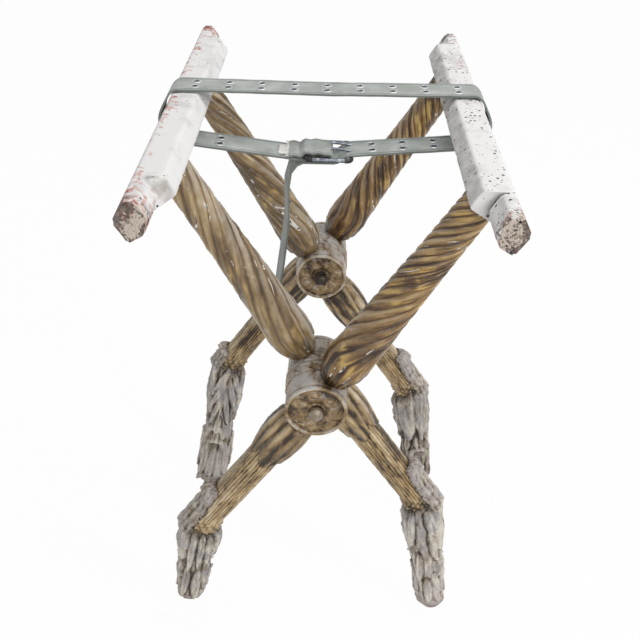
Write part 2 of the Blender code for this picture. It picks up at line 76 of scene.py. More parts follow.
QUARTER = math.pi / 2
FRONT = -QUARTER
MILLIMETRE = 0.001
TOUCHING = 1e-6
CAP_RINGS = (0.0, 0.35, 0.7)
HIDDEN_RELIEF = 0.2

Colour = tuple[float, float, float]
Pairs = tuple[tuple[float, float], ...]
Triples = tuple[tuple[float, float, float], ...]
Profile = list[tuple[float, float]]
Piece = bpy.types.Object
Material = bpy.types.Material
Socket = bpy.types.NodeSocket
Input = Union[Socket, float, Sequence[float]]


class Named(Enum):
    """Options whose names are part of the names of pieces."""

    @property
    def word(self) -> str:
        """The name in lower case."""
        return self.name.lower()


class Side(Named):
    """The two frames, named for the side that their rail is on."""

    RIGHT = 1
    LEFT = -1

    @property
    def body(self) -> str:
        """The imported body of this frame."""
        return f"{self.word}_frame"


class End(Named):
    """The two ends of the stool, along the hub axis."""

    NEAR = -1
    FAR = 1


class Carved(NamedTuple):
    """Where a carved point ends up, and what its finish reads there."""

    place: Vector
    relief: float = 1.0
    zone: float = 0.0
    wrap: Vector | None = None


def smooth(low: float, high: float, value: float) -> float:
    """Eases a value from 0 at the low mark to 1 at the high one, either of which may be the larger."""
    share = min(1.0, max(0.0, (value - low) / (high - low)))
    return share * share * (3 - 2 * share)


def dome(share: float) -> float:
    """Height of a unit half circle at a share of its radius, 0 outside it."""
    return math.sqrt(max(0.0, 1.0 - share * share))


def bell(away: float, width: float) -> float:
    """Height of a bell curve, 1 in its middle."""
    return math.exp(-((away / width) ** 2))


def rough(place: Vector, scale: float, seed: float = 0.0) -> float:
    """Signed fractal noise of about -1 to 1, its scale in features to the metre."""
    return noise.fractal(place * scale + Vector((seed, 2 * seed, 0)), 1.0, 2.0, 3)


def spread(start: float, end: float, count: int) -> list[float]:
    """Evenly spaced values, both ends included."""
    return [start + (end - start) * i / (count - 1) for i in range(count)]


def polar(co: Vector) -> tuple[float, float]:
    """Distance of a point from the Z axis, and its angle round it."""
    return math.hypot(co.x, co.y), math.atan2(co.y, co.x)


def on_ring(reach: float, turn: float, height: float) -> Vector:
    """Point at a distance from the Z axis, an angle round it and a height."""
    return Vector((reach * math.cos(turn), reach * math.sin(turn), height))


def angle_from(middle: float, turn: float) -> float:
    """Signed angle from a middle, at most half a turn."""
    return (turn - middle + math.pi) % math.tau - math.pi


class Blank:
    """A bmesh that is turned or laid out plain, then carved point by point."""

    def __init__(self) -> None:
        """Starts an empty blank."""
        self.bm = bmesh.new()

    @classmethod
    def turned(cls, profile: Sequence[tuple[float, float]], steps: int, closed: bool = False) -> "Blank":
        """Spins a profile round Z.

        Args:
            profile: Points of radius and height.
            steps: Steps in the full turn.
            closed: Whether the profile joins up, as for a ring.

        Returns:
            The turned blank.
        """
        blank = cls()
        verts = [blank.bm.verts.new((radius, 0.0, height)) for radius, height in profile]
        pairs = list(zip(verts, verts[1:]))
        if closed:
            pairs.append((verts[-1], verts[0]))
        line = verts + [blank.bm.edges.new(pair) for pair in pairs]
        about = {"axis": (0, 0, 1), "cent": (0, 0, 0), "angle": math.tau}
        bmesh.ops.spin(blank.bm, geom=line, steps=steps, use_merge=True, **about)
        bmesh.ops.remove_doubles(blank.bm, verts=blank.bm.verts[:], dist=TOUCHING)
        return blank

    @classmethod
    def sleeve(cls, stations: Sequence[float], steps: int) -> "Blank":
        """A closed unit cylinder along Z with a ring at each station and two more in each end face."""
        first, last = ([(radius, z) for radius in CAP_RINGS] for z in (stations[0], stations[-1]))
        return cls.turned(first + [(1.0, z) for z in stations] + last[::-1], steps)

    @classmethod
    def cloth(cls, across: int, along: int) -> "Blank":
        """A flat unit square from the origin.

        Args:
            across: Faces along X.
            along: Faces along Y.

        Returns:
            The grid.
        """
        blank = cls()
        bmesh.ops.create_grid(blank.bm, x_segments=across, y_segments=along, size=0.5)
        bmesh.ops.translate(blank.bm, verts=blank.bm.verts[:], vec=(0.5, 0.5, 0))
        return blank

    @classmethod
    def tube(cls, path: Sequence[Vector], radius: float, sides: int, closed: bool = False) -> "Blank":
        """Sweeps a round section along a path.

        Args:
            path: Points in order.
            radius: Radius of the section.
            sides: Points round the section.
            closed: Whether the path joins up.

        Returns:
            The tube, with its ends closed.
        """
        blank = cls()
        count = len(path)
        rows = []
        for i, point in enumerate(path):
            before = path[i - 1] if i or closed else point
            after = path[(i + 1) % count] if i < count - 1 or closed else point
            turn = (after - before).to_track_quat("Z", "Y").to_matrix().to_4x4()
            place = Matrix.Translation(point) @ turn
            made = bmesh.ops.create_circle(blank.bm, segments=sides, radius=radius, matrix=place)
            rows.append(list({edge for vert in made["verts"] for edge in vert.link_edges}))
        pairs = list(zip(rows, rows[1:]))
        if closed:
            pairs.append((rows[-1], rows[0]))
        for row, onward in pairs:
            bmesh.ops.bridge_loops(blank.bm, edges=row + onward)
        if not closed:
            bmesh.ops.holes_fill(blank.bm, edges=blank.bm.edges[:], sides=sides)
        return blank

    def carve(self, rule: Callable[[Vector], Carved]) -> "Blank":
        """Moves every point by a rule and keeps what its finish reads.

        Args:
            rule: Gives a carved point for a point of the plain blank.

        Returns:
            This blank.
        """
        relief = self.bm.verts.layers.float.new("relief")
        zone = self.bm.verts.layers.float.new("zone")
        wrap = self.bm.verts.layers.float_vector.new("wrap")
        for vert in self.bm.verts:
            carved = rule(vert.co.copy())
            vert.co = carved.place
            vert[relief] = carved.relief
            vert[zone] = carved.zone
            vert[wrap] = carved.wrap or carved.place
        return self

    def join(self, other: "Blank") -> None:
        """Takes in another blank.

        Args:
            other: The blank, which is used up.
        """
        mesh = bpy.data.meshes.new("joined")
        other.bm.to_mesh(mesh)
        other.bm.free()
        self.bm.from_mesh(mesh)
        bpy.data.meshes.remove(mesh)

    def moved(self, place: Matrix) -> "Blank":
        """Moves the whole blank by a matrix, and gives it back."""
        self.bm.transform(place)
        return self

    def finished(self, name: str, finish: "Finish", sharp: float = 50.0) -> Piece:
        """Makes the object, at the origin with its place in its mesh.

        Args:
            name: Name of the piece.
            finish: What it is covered with.
            sharp: Angle in degrees past which an edge stays crisp.

        Returns:
            The new object.
        """
        self.bm.normal_update()
        bmesh.ops.recalc_face_normals(self.bm, faces=self.bm.faces[:])
        self.bm.normal_update()
        up = self.bm.verts.layers.float.new("up")
        for vert in self.bm.verts:
            vert[up] = vert.normal.z
        mesh = bpy.data.meshes.new(name)
        self.bm.to_mesh(mesh)
        self.bm.free()
        mesh.shade_smooth()
        mesh.set_sharp_from_angle(angle=math.radians(sharp))
        mesh.materials.append(finish.material())
        piece = bpy.data.objects.new(name, mesh)
        bpy.context.scene.collection.objects.link(piece)
        LOG.info("%s: %d faces", name, len(mesh.polygons))
        return piece


class Graph:
    """Short calls for the nodes of a material or a world."""

    def __init__(self, tree: bpy.types.NodeTree) -> None:
        """Takes up the node tree that the nodes go in."""
        self.tree = tree

    def put(self, socket: Socket, value: Input) -> None:
        """Links a socket, or sets its constant.

        Args:
            socket: The input.
            value: The output to link, or the number, vector or colour to set.
        """
        if isinstance(value, Socket):
            self.tree.links.new(value, socket)
        elif socket.type == "RGBA" and len(value) == 3:
            socket.default_value = (*value, 1.0)
        else:
            socket.default_value = value

    def node(self, kind: str, **inputs: Input) -> bpy.types.Node:
        """Adds a shader node.

        Args:
            kind: Its type, without the first words that all types share.
            inputs: Values of its inputs, their names with underscores for spaces.

        Returns:
            The node.
        """
        made = self.tree.nodes.new(f"ShaderNode{kind}")
        for name, value in inputs.items():
            self.put(made.inputs[name.replace("_", " ")], value)
        return made

    def spot(self) -> Socket:
        """Object coordinates, in metres."""
        return self.node("TexCoord").outputs["Object"]

    def value(self, name: str, output: str = "Fac") -> Socket:
        """Something kept on the mesh.

        Args:
            name: Its name there.
            output: Whether it is read as a number or a vector.

        Returns:
            What is kept.
        """
        node = self.node("Attribute")
        node.attribute_name = name
        return node.outputs[output]

    def wrap(self) -> Socket:
        """The coordinates that follow the surface."""
        return self.value("wrap", "Vector")

    def stretched(self, at: Socket, scale: Sequence[float]) -> Socket:
        """Coordinates scaled by axis."""
        return self.node("Mapping", Vector=at, Scale=scale).outputs["Vector"]

    def noise(self, at: Socket, scale: float, detail: float = 4.0, bend: float = 0.0) -> Socket:
        """Fractal noise of 0 to 1, its scale in features to the metre."""
        node = self.node("TexNoise", Vector=at, Scale=scale, Detail=detail, Distortion=bend)
        return node.outputs["Fac"]

    def cells(self, at: Socket, scale: float) -> tuple[Socket, Socket]:
        """Distance from the middle of scattered cells, and the cells' random colour."""
        node = self.node("TexVoronoi", Vector=at, Scale=scale)
        return node.outputs["Distance"], node.outputs["Color"]

    def math(self, kind: str, first: Input, second: Input = 0.0) -> Socket:
        """One Math node.

        Args:
            kind: Its operation.
            first: First value.
            second: Second value, where the operation has one.

        Returns:
            The result.
        """
        node = self.node("Math")
        node.operation = kind
        self.put(node.inputs[0], first)
        self.put(node.inputs[1], second)
        return node.outputs[0]

    def plus(self, first: Input, second: Input) -> Socket:
        """Sum of two values."""
        return self.math("ADD", first, second)

    def minus(self, first: Input, second: Input) -> Socket:
        """Difference of two values."""
        return self.math("SUBTRACT", first, second)

    def times(self, first: Input, second: Input) -> Socket:
        """Product of two values."""
        return self.math("MULTIPLY", first, second)

    def most(self, first: Input, second: Input) -> Socket:
        """Larger of two values."""
        return self.math("MAXIMUM", first, second)

    def sway(self, base: Input, *parts: tuple[Socket, float]) -> Socket:
        """Adds noises to a value.

        Args:
            base: The value.
            parts: Noises with their gains, each counted from one half.

        Returns:
            The swayed value.
        """
        for part, gain in parts:
            base = self.plus(base, self.times(self.minus(part, 0.5), gain))
        return base

    def axes(self, at: Socket) -> tuple[Socket, Socket, Socket]:
        """The three parts of a vector."""
        parts = self.node("SeparateXYZ", Vector=at).outputs
        return parts["X"], parts["Y"], parts["Z"]

    def step(self, value: Socket, low: float, high: float, top: float = 1.0) -> Socket:
        """Eases a value.

        Args:
            value: The value.
            low: Where the result is 0, above or below the other end.
            high: Where the result is at its top.
            top: The top.

        Returns:
            The eased value.
        """
        span = {"From_Min": min(low, high), "From_Max": max(low, high)}
        start, stop = (0.0, top) if low < high else (top, 0.0)
        node = self.node("MapRange", Value=value, To_Min=start, To_Max=stop, **span)
        node.interpolation_type = "SMOOTHSTEP"
        return node.outputs["Result"]

    def ramp(self, value: Socket, *stops: tuple[float, Colour]) -> Socket:
        """Colours by value.

        Args:
            value: What picks the colour.
            stops: Positions and colours in order.

        Returns:
            The colour.
        """
        node = self.node("ValToRGB", Fac=value)
        marks = node.color_ramp.elements
        while len(marks) < len(stops):
            marks.new(0.5)
        for mark, (place, colour) in zip(marks, stops):
            mark.position = place
            mark.color = (*colour, 1.0)
        return node.outputs["Color"]

    def mix(self, share: Socket, under: Input, over: Input) -> Socket:
        """Lays one colour over another.

        Args:
            share: How much of the upper one shows.
            under: The lower colour.
            over: The upper colour.

        Returns:
            The mixed colour.
        """
        node = self.node("Mix", Factor=share)
        node.data_type = "RGBA"
        self.put(node.inputs[6], under)
        self.put(node.inputs[7], over)
        return node.outputs[2]

    def coats(self, colour: Input, *coats: tuple[Socket, Input]) -> Input:
        """Lays coats over a colour.

        Args:
            colour: The lowest colour.
            coats: Shares with the colours that they show, from the lowest up.

        Returns:
            The colour on top.
        """
        for share, coat in coats:
            colour = self.mix(share, colour, coat)
        return colour

    def bump(self, *heights: tuple[Socket, float]) -> Socket:
        """Stacks bumps.

        Args:
            heights: Heights with their depth in metres.

        Returns:
            The normal.
        """
        normal = {}
        for height, depth in heights:
            node = self.node("Bump", Distance=depth, Strength=1.0, Height=height, **normal)
            normal = {"Normal": node.outputs["Normal"]}
        return normal["Normal"]

    def seen_white(self) -> Socket:
        """1 for rays that look at the background, straight or in a reflection."""
        path = self.node("LightPath").outputs
        seen = self.most(path["Is Camera Ray"], path["Is Glossy Ray"])
        return self.most(seen, path["Is Transmission Ray"])


class MaterialGraph(Graph):
    """The nodes of one new material."""

    def __init__(self, name: str) -> None:
        """Starts the material.

        Args:
            name: Name of the material.
        """
        self.made = bpy.data.materials.new(name)
        self.made.use_nodes = True
        super().__init__(self.made.node_tree)
        self.shader = self.tree.nodes["Principled BSDF"]

    def end(self, **inputs: Input) -> Material:
        """Sets the shader's inputs.

        Args:
            inputs: Values by name, in lower case with underscores for spaces.

        Returns:
            The material.
        """
        for name, value in inputs.items():
            title = name.replace("_", " ").title().replace("Ior", "IOR")
            self.put(self.shader.inputs[title], value)
        return self.made


class Finish:
    """Something that a piece is covered with."""

    name: str

    def material(self) -> Material:
        """The finish's material, made once."""
        return bpy.data.materials.get(self.name) or self.paint(MaterialGraph(self.name))

    def paint(self, g: MaterialGraph) -> Material:
        """Builds the nodes of the new material and gives it back."""
        raise NotImplementedError


@dataclass(frozen=True)
class AgedGilding(Finish):
    """Gold leaf worn to its brown ground, with painted shade in the flutes and a dusty grey on top, partly
    dirt and partly painted sky sheen.
    """

    name: str = "arm_gilding"
    groove: Colour = (0.042, 0.022, 0.010)
    shade: Colour = (0.130, 0.070, 0.029)
    ground: Colour = (0.275, 0.160, 0.054)
    crest: Colour = (0.500, 0.350, 0.150)
    leaf: Colour = (0.600, 0.405, 0.125)
    # Grey of the upward-facing sides: partly settled dirt, partly a painted sheen of the bright sky.
    dust: Colour = (0.470, 0.430, 0.375)
    gesso: Colour = (0.880, 0.860, 0.800)
    bole: Colour = (0.085, 0.026, 0.017)
    dustiness: float = 0.40
    leaf_share: float = 0.7
    streaks: float = 1.6
    shine: float = 0.38
    contrast: float = 0.30
    chips: float = 1.0
    streak_scale: float = 240.0
    lobe_scale: float = 85.0
    patch_scale: float = 38.0
    chip_scale: float = 105.0

    def paint(self, g: MaterialGraph) -> Material:
        """Streaks of leaf along the flutes, painted shade in them, a dusty grey with painted sheen on top,
        and small chips.
        """
        at, spot, relief = g.wrap(), g.spot(), g.value("relief")
        streak = g.noise(at, self.streak_scale, 6.0, 0.3)
        lobe = g.noise(g.stretched(at, (1.0, 1.0, 0.45)), self.lobe_scale, 2.0)
        patch = g.noise(spot, self.patch_scale, 4.0, 0.5)
        # The carved relief sets the tone: painted shade in the flutes and painted highlight on the crests.
        level = g.plus(g.times(relief, self.contrast), 0.42 - self.contrast / 2)
        level = g.sway(level, (streak, self.streaks), (lobe, 1.6), (patch, 0.8))
        dark, light = ((0.04, self.groove), (0.28, self.shade)), ((0.60, self.ground), (1.0, self.crest))
        # Painted shade: a darker line along the bottoms of the flutes.
        painted_groove_shade = g.times(g.step(relief, 0.14, 0.0, 0.7), g.step(patch, 0.35, 0.60))
        rich = g.sway(streak, (patch, 1.3), (lobe, -0.5))
        least = 0.82 - 0.4 * self.leaf_share
        bright = g.times(g.step(rich, least, least + 0.30, 0.75), g.step(relief, 0.2, 0.6))
        # Upward-facing sides greyed: partly settled dirt, partly a painted sheen of the bright sky.
        dust_and_sheen_mask = g.times(g.step(g.value("up"), -0.05, 0.85, self.dustiness), g.step(lobe, 0.30, 0.62))
        dust_and_sheen_mask = g.times(dust_and_sheen_mask, g.step(relief, 0.05, 0.6))
        chip = g.noise(g.stretched(at, (1.0, 1.0, 1.4)), self.chip_scale, 2.0, 0.9)
        colour = g.coats(
            g.ramp(level, *dark, *light),
            (painted_groove_shade, self.groove),
            (bright, self.leaf),
            (dust_and_sheen_mask, self.dust),
            (g.step(chip, 0.670, 0.680, self.chips), self.gesso),
            (g.step(chip, 0.696, 0.706, self.chips), self.bole),
        )
        sunk, grit = g.step(chip, 0.71, 0.67), g.noise(spot, 900.0)
        return g.end(
            base_color=colour,
            metallic=g.times(bright, 0.4),
            roughness=g.sway(g.plus(0.20, g.times(dust_and_sheen_mask, 0.30)), (g.noise(spot, 210.0), 0.35)),
            specular_ior_level=self.shine,
            normal=g.bump((streak, 0.0007), (sunk, 0.0006 * self.chips), (grit, 0.00015)),
        )


@dataclass(frozen=True)
class WeatheredCarving(Finish):
    """Carved leaves that have lost their gilding: grey ground, painted shade in the hollows, painted
    highlight and bone-coloured wear on the crests.
    """

    name: str = "weathered_carving"
    hollow: Colour = (0.036, 0.028, 0.022)
    ground: Colour = (0.310, 0.258, 0.206)
    crest: Colour = (0.710, 0.655, 0.570)
    slate: Colour = (0.290, 0.290, 0.325)
    mauve: Colour = (0.460, 0.408, 0.415)
    bone: Colour = (0.740, 0.700, 0.600)
    gold: Colour = (0.220, 0.160, 0.070)
    bare: Colour = (0.180, 0.110, 0.062)
    fine_scale: float = 230.0
    broad_scale: float = 34.0
    grit_scale: float = 330.0

    def paint(self, g: MaterialGraph) -> Material:
        """Painted shade in the hollows, slate and mauve patches, bone chips and a bare worn toe."""
        at, relief, zone = g.spot(), g.value("relief"), g.value("zone")
        fine = g.noise(g.wrap(), self.fine_scale, 7.0)
        broad = g.noise(at, self.broad_scale, 3.0)
        grit = g.noise(at, self.grit_scale, 4.0)
        level = g.sway(relief, (fine, 1.1), (broad, 0.3), (grit, 0.5))
        tint = g.ramp(zone, (0.0, self.slate), (0.45, self.slate), (0.75, self.mauve), (1.0, self.mauve))
        cool = g.times(g.step(broad, 0.42, 0.58, 0.55), g.step(level, 0.20, 0.45))
        bone = g.times(g.step(g.noise(at, 60.0, 5.0, 0.4), 0.48, 0.62, 0.8), g.step(level, 0.70, 0.98))
        left = g.times(g.step(g.noise(at, 70.0, 4.0, 0.3), 0.56, 0.66, 0.6), g.step(relief, 0.65, 0.30))
        worn = g.times(g.step(zone, 0.93, 0.98), g.step(g.noise(at, 60.0, 4.0), 0.38, 0.55))
        # The first ramp paints shade in the hollows and highlight on the crests from the carved tone.
        colour = g.coats(
            g.ramp(level, (0.08, self.hollow), (0.40, self.ground), (0.86, self.crest)),
            (cool, tint),
            (bone, self.bone),
            (left, self.gold),
            (worn, self.bare),
            (g.step(g.noise(at, 420.0, 3.0), 0.34, 0.28, 0.8), self.hollow),
        )
        return g.end(
            base_color=colour,
            roughness=g.sway(0.62, (fine, 0.4)),
            specular_ior_level=0.35,
            normal=g.bump((fine, 0.0014), (grit, 0.0009), (g.noise(at, 800.0, 3.0), 0.0003)),
        )


@dataclass(frozen=True)
class WornGesso(Finish):
    """Off-white gesso over wood: bole showing at the edges, wormholes, bare grain at the ends."""

    name: str = "worn_gesso"
    white: Colour = (0.830, 0.820, 0.810)
    grey: Colour = (0.600, 0.590, 0.590)
    pink: Colour = (0.640, 0.400, 0.350)
    red: Colour = (0.300, 0.065, 0.055)
    grain: Colour = (0.580, 0.510, 0.430)
    # Raw wood colour, also used as painted shade on the right rail's inner face.
    raw: Colour = (0.400, 0.370, 0.340)
    stain: Colour = (0.045, 0.029, 0.026)
    rust: Colour = (0.170, 0.115, 0.098)
    hole: Colour = (0.020, 0.013, 0.011)
    worms: float = 0.5
    blush: float = 0.5
    soot: float = 0.0
    wormholes: Triples = ((150.0, 0.22, 0.86), (260.0, 0.20, 0.92))

    def paint(self, g: MaterialGraph) -> Material:
        """Mottled white with pink edges, holes in clusters and stained end grain."""
        at, zone = g.spot(), g.value("zone")
        slit_shade, edge, face = g.axes(g.wrap())
        mottle, broad = g.noise(at, 70.0, 7.0), g.noise(at, 16.0, 3.0)
        cloudy = g.step(g.sway(mottle, (broad, 0.9)), 0.45, 0.80, 0.75)
        flush = g.sway(g.noise(at, 120.0, 5.0, 0.6), (broad, 0.4))
        flush = g.plus(flush, g.times(edge, 0.165 * self.blush))
        flush = g.plus(flush, g.times(zone, 0.155))
        # Raw wood where a shoulder is stripped, and painted shade on the right rail's inner face.
        stripped = g.times(g.value("relief"), g.step(mottle, 0.25, 0.65, 0.85))
        bare = g.sway(zone, (g.noise(at, 90.0, 5.0), 0.9))
        speck = g.sway(g.noise(at, 420.0, 5.0, 0.2), (g.noise(at, 70.0, 3.0), 1.3))
        sooty = g.sway(speck, (face, 0.35))
        ended = g.step(face, 0.15, 0.30)
        stain = g.times(g.step(sooty, 0.58 - self.soot, 0.74 - self.soot, 0.85), ended)
        rim = g.times(g.step(speck, 0.49, 0.62, 0.85), g.step(zone, 0.50, 0.80))
        gap, pick = g.cells(at, 420.0)
        pores = g.times(g.step(gap, 0.36, 0.22), g.step(pick, 0.48, 0.52, 0.9))
        rim = g.most(rim, g.times(pores, ended))
        tarred = g.mix(g.step(g.noise(at, 260.0, 4.0), 0.38, 0.62), self.stain, self.rust)
        # Painted shade in the shoulder's slit, then the wormholes.
        pits_and_slit_shade = slit_shade
        for scale, size, rarity in self.wormholes:
            gap, pick = g.cells(at, scale)
            least = rarity - 0.35 * self.worms
            chosen = g.step(g.sway(pick, (broad, 0.7)), least, least + 0.02)
            pits_and_slit_shade = g.most(pits_and_slit_shade, g.times(g.step(gap, size, 0.7 * size), chosen))
        colour = g.coats(
            self.white,
            (cloudy, self.grey),
            (g.step(flush, 0.66, 0.76, 0.8), self.pink),
            (g.step(flush, 0.78, 0.84, 0.8), self.red),
            (stripped, self.raw),
            (g.step(bare, 0.78, 0.96), self.grain),
            (g.most(stain, rim), tarred),
            (pits_and_slit_shade, self.hole),
        )
        sunk = g.minus(1.0, pits_and_slit_shade)
        normal = g.bump((mottle, 0.0005), (sunk, 0.0014), (g.noise(at, 600.0), 0.0003))
        return g.end(base_color=colour, roughness=0.85, specular_ior_level=0.3, normal=normal)


@dataclass(frozen=True)
class WebCanvas(Finish):
    """Woven cotton webbing, grey-green with darker selvedge lines and painted shade along its edges."""

    name: str = "belt_webbing"
    yarn: Colour = (0.640, 0.675, 0.650)
    shade: Colour = (0.310, 0.335, 0.310)
    line: Colour = (0.110, 0.125, 0.108)
    width: float = 0.038
    pitch: float = 0.0020

    def paint(self, g: MaterialGraph) -> Material:
        """A plain weave along the belt, worn pale in places."""
        across, along, _ = g.axes(g.wrap())
        warp = g.math("SINE", g.times(across, math.tau / self.pitch))
        weft = g.math("SINE", g.times(along, math.tau / (1.6 * self.pitch)))
        weave = g.plus(g.times(g.times(warp, weft), 0.5), 0.5)
        wear = g.noise(g.spot(), 45.0, 5.0)
        edge = g.math("ABSOLUTE", across)
        inset = g.math("ABSOLUTE", g.minus(edge, 0.41 * self.width))
        # The dark band right at the belt's edges is partly the woven edge, partly painted shade of its
        # thickness.
        colour = g.coats(
            self.shade,
            (g.times(weave, g.step(wear, 0.30, 0.75)), self.yarn),
            (g.step(inset, 0.0014, 0.0006, 0.70), self.line),
            (g.step(edge, 0.47 * self.width, 0.495 * self.width, 0.75), self.line),
        )
        fuzz = g.noise(g.spot(), 1400.0, 2.0)
        normal = g.bump((weave, 0.00025), (fuzz, 0.00015), (g.step(inset, 0.0004, 0.0012), 0.0003))
        return g.end(base_color=colour, roughness=0.88, sheen_weight=0.25, normal=normal)


@dataclass(frozen=True)
class PlainCoat(Finish):
    """A metal or cloth of one colour with small variation and wear."""

    name: str
    colour: Colour
    worn: Colour
    gloss: float = 0.4
    metal: float = 0.0
    scale: float = 160.0

    def paint(self, g: MaterialGraph) -> Material:
        """One colour worn to another."""
        at = g.spot()
        wear = g.noise(at, self.scale, 5.0)
        return g.end(
            base_color=g.mix(g.step(wear, 0.45, 0.68), self.colour, self.worn),
            roughness=g.sway(self.gloss, (wear, 0.3)),
            metallic=self.metal,
            normal=g.bump((g.noise(at, 8 * self.scale, 3.0), 0.00012)),
        )


@dataclass(frozen=True)
class StudioWhite(Finish):
    """Floor that looks white and still keeps a soft shadow."""

    name: str = "studio_floor"
    colour: Colour = (0.95, 0.95, 0.95)
    dull: float = 0.9
    glow: float = 0.965

    def paint(self, g: MaterialGraph) -> Material:
        """A pale coat that glows for rays that look at it."""
        made = g.end(base_color=self.colour, roughness=self.dull)
        share = g.times(g.seen_white(), self.glow)
        light = g.node("Emission", Strength=1.0)
        blend = g.node("MixShader", Fac=share)
        g.put(blend.inputs[1], g.shader.outputs[0])
        g.put(blend.inputs[2], light.outputs[0])
        g.put(g.tree.nodes["Material Output"].inputs["Surface"], blend.outputs[0])
        return made


GILDING = AgedGilding()
# Left arms: more of the grey on top, which is partly a painted sky sheen.
DUSTY_SHEEN_GILDING = AgedGilding(
    name="dusty_arm_gilding",
    groove=(0.100, 0.066, 0.034),
    shade=(0.180, 0.117, 0.056),
    ground=(0.310, 0.206, 0.092),
    crest=(0.500, 0.385, 0.220),
    dustiness=0.85,
    leaf_share=0.5,
    streaks=1.25,
    contrast=0.22,
)
HUB_GILDING = AgedGilding(
    name="hub_gilding",
    groove=(0.060, 0.037, 0.018),
    shade=(0.190, 0.120, 0.052),
    ground=(0.320, 0.212, 0.098),
    crest=(0.600, 0.520, 0.410),
    leaf=(0.430, 0.300, 0.110),
    dust=(0.430, 0.425, 0.425),
    dustiness=0.85,
    leaf_share=0.35,
    streaks=0.9,
    shine=0.35,
    contrast=0.58,
    chips=0.4,
)
STEM_GILDING = AgedGilding(
    name="stem_gilding",
    groove=(0.045, 0.029, 0.015),
    shade=(0.200, 0.130, 0.058),
    ground=(0.420, 0.292, 0.138),
    crest=(0.720, 0.590, 0.390),
    leaf=(0.440, 0.290, 0.080),
    dust=(0.520, 0.480, 0.410),
    dustiness=0.45,
    leaf_share=0.30,
    streaks=1.4,
    shine=0.35,
    contrast=0.56,
    chips=0.12,
)
CARVING = WeatheredCarving()
LEFT_GESSO = WornGesso(name="worn_gesso_left", worms=0.15, blush=1.0, soot=0.19)
RIGHT_GESSO = WornGesso(name="worn_gesso_right", worms=1.0, blush=0.3, soot=0.10)
CANVAS = WebCanvas()
OLD_IRON = PlainCoat("pin_iron", (0.060, 0.045, 0.035), (0.150, 0.120, 0.095), 0.42, 0.7)
PALE_IRON = PlainCoat("rubbed_iron", (0.250, 0.200, 0.150), (0.420, 0.360, 0.290), 0.45, 0.4)
STEEL = PlainCoat("buckle_steel", (0.130, 0.145, 0.170), (0.330, 0.350, 0.375), 0.26, 1.0)
BLACKED = PlainCoat("blacked_steel", (0.018, 0.018, 0.018), (0.050, 0.050, 0.050), 0.35, 0.3)
EYELET_METAL = PlainCoat("eyelet_metal", (0.480, 0.490, 0.500), (0.300, 0.310, 0.330), 0.35, 0.6)
HOLE_SHADE = PlainCoat("eyelet_shade", (0.012, 0.012, 0.014), (0.022, 0.022, 0.026), 0.8)
PALE_YARN = PlainCoat("pale_yarn", (0.780, 0.770, 0.730), (0.650, 0.640, 0.600), 0.9)


@dataclass(frozen=True)
class Stance:
    """How the stool stands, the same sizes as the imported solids."""

    lean: float = math.radians(31.0)
    arm_reach: float = 0.2835
    stem_lean: float = math.radians(34.0)
    stem_reach: float = 0.236
    foot_height: float = 0.200
    foot_lean: float = math.radians(9.5)
    hub_radius: float = 0.033
    hub_width: float = 0.047
    inner_layer: float = 0.110
    gap: float = 0.0003

    @property
    def hub_height(self) -> float:
        """Height of the hub axis."""
        return self.stem_reach * math.cos(self.stem_lean) + self.foot_height

    def layer(self, side: Side, end: End) -> float:
        """Y of a hub knuckle: the right frame is the outer one."""
        outer = self.hub_width + self.gap if side is Side.RIGHT else 0.0
        return end.value * (self.inner_layer + outer)

    def toe_shift(self, side: Side, end: End) -> float:
        """How far a foot's pad stands along Y from its knee, so that all feet stand in line."""
        return end.value * self.inner_layer - self.layer(side, end)

    def upright(self, side: Side, y: float = 0.0, below: bool = False) -> Matrix:
        """Matrix to the stool from a frame's upright hub axis, or from its stems below the hub."""
        turn = Matrix.Rotation(side.value * (self.stem_lean if below else self.lean), 4, "Y")
        return Matrix.Translation((0, y, self.hub_height)) @ turn

    def knee(self, side: Side, y: float) -> Matrix:
        """Matrix to the stool from a right-hand foot's knee, mirrored for the left frame."""
        spot = self.upright(side, y, True) @ Vector((0, 0, -self.stem_reach))
        return Matrix.Translation(spot) @ Matrix.Scale(side.value, 4, (1, 0, 0))


STANCE = Stance()


def dress(piece: Piece, body: str, slot: str, *nodes: str) -> None:
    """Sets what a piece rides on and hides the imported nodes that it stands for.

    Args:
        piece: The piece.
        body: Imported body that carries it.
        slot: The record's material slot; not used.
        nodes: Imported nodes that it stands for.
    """
    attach(piece, body)
    if nodes:
        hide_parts(*nodes)


@dataclass
class FramePiece:
    """A piece of one frame at one end of the stool."""

    side: Side
    end: End

    @property
    def word(self) -> str:
        """Its side and end, as the visual pieces are named."""
        return f"{self.side.word}_{self.end.word}"

    @property
    def layer(self) -> float:
        """Y of the hub knuckle that it belongs to."""
        return STANCE.layer(self.side, self.end)

    def seeded(self, by_side: float, by_end: float) -> float:
        """A number that tells this piece's pattern from those of the other three."""
        return by_side * self.side.value + by_end * self.end.value

    def grain(self, radius: float, turn: float, along: float) -> Vector:
        """Where the finish of a turned piece reads its streaks.

        Args:
            radius: Radius of the piece.
            turn: Angle round it.
            along: Way along it, shortened so that streaks run lengthwise.

        Returns:
            The coordinates.
        """
        wrap = on_ring(radius, turn, along)
        wrap.z += self.seeded(0.3, 0.1)
        return wrap

    def seated(self, co: Vector, wrap: Vector) -> Carved:
        """A point of an end face, hollowed to lie on the round hub."""
        rest = math.sqrt((STANCE.hub_radius + STANCE.gap) ** 2 - co.x**2)
        return Carved(Vector((co.x, co.y, math.copysign(rest, co.z))), HIDDEN_RELIEF, 0.0, wrap)

    def mount(self, piece: Piece, slot: str, node: str = "") -> None:
        """Sets a piece on its frame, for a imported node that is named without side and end."""
        nodes = [f"{self.side.word}_{node}_{self.end.word}"] if node else []
        dress(piece, self.side.body, slot, *nodes)

    def carve(self, co: Vector) -> Carved:
        """Carves one point of the plain blank."""
        raise NotImplementedError

    def build(self) -> None:
        """Models the piece and sets it on its frame."""
        raise NotImplementedError


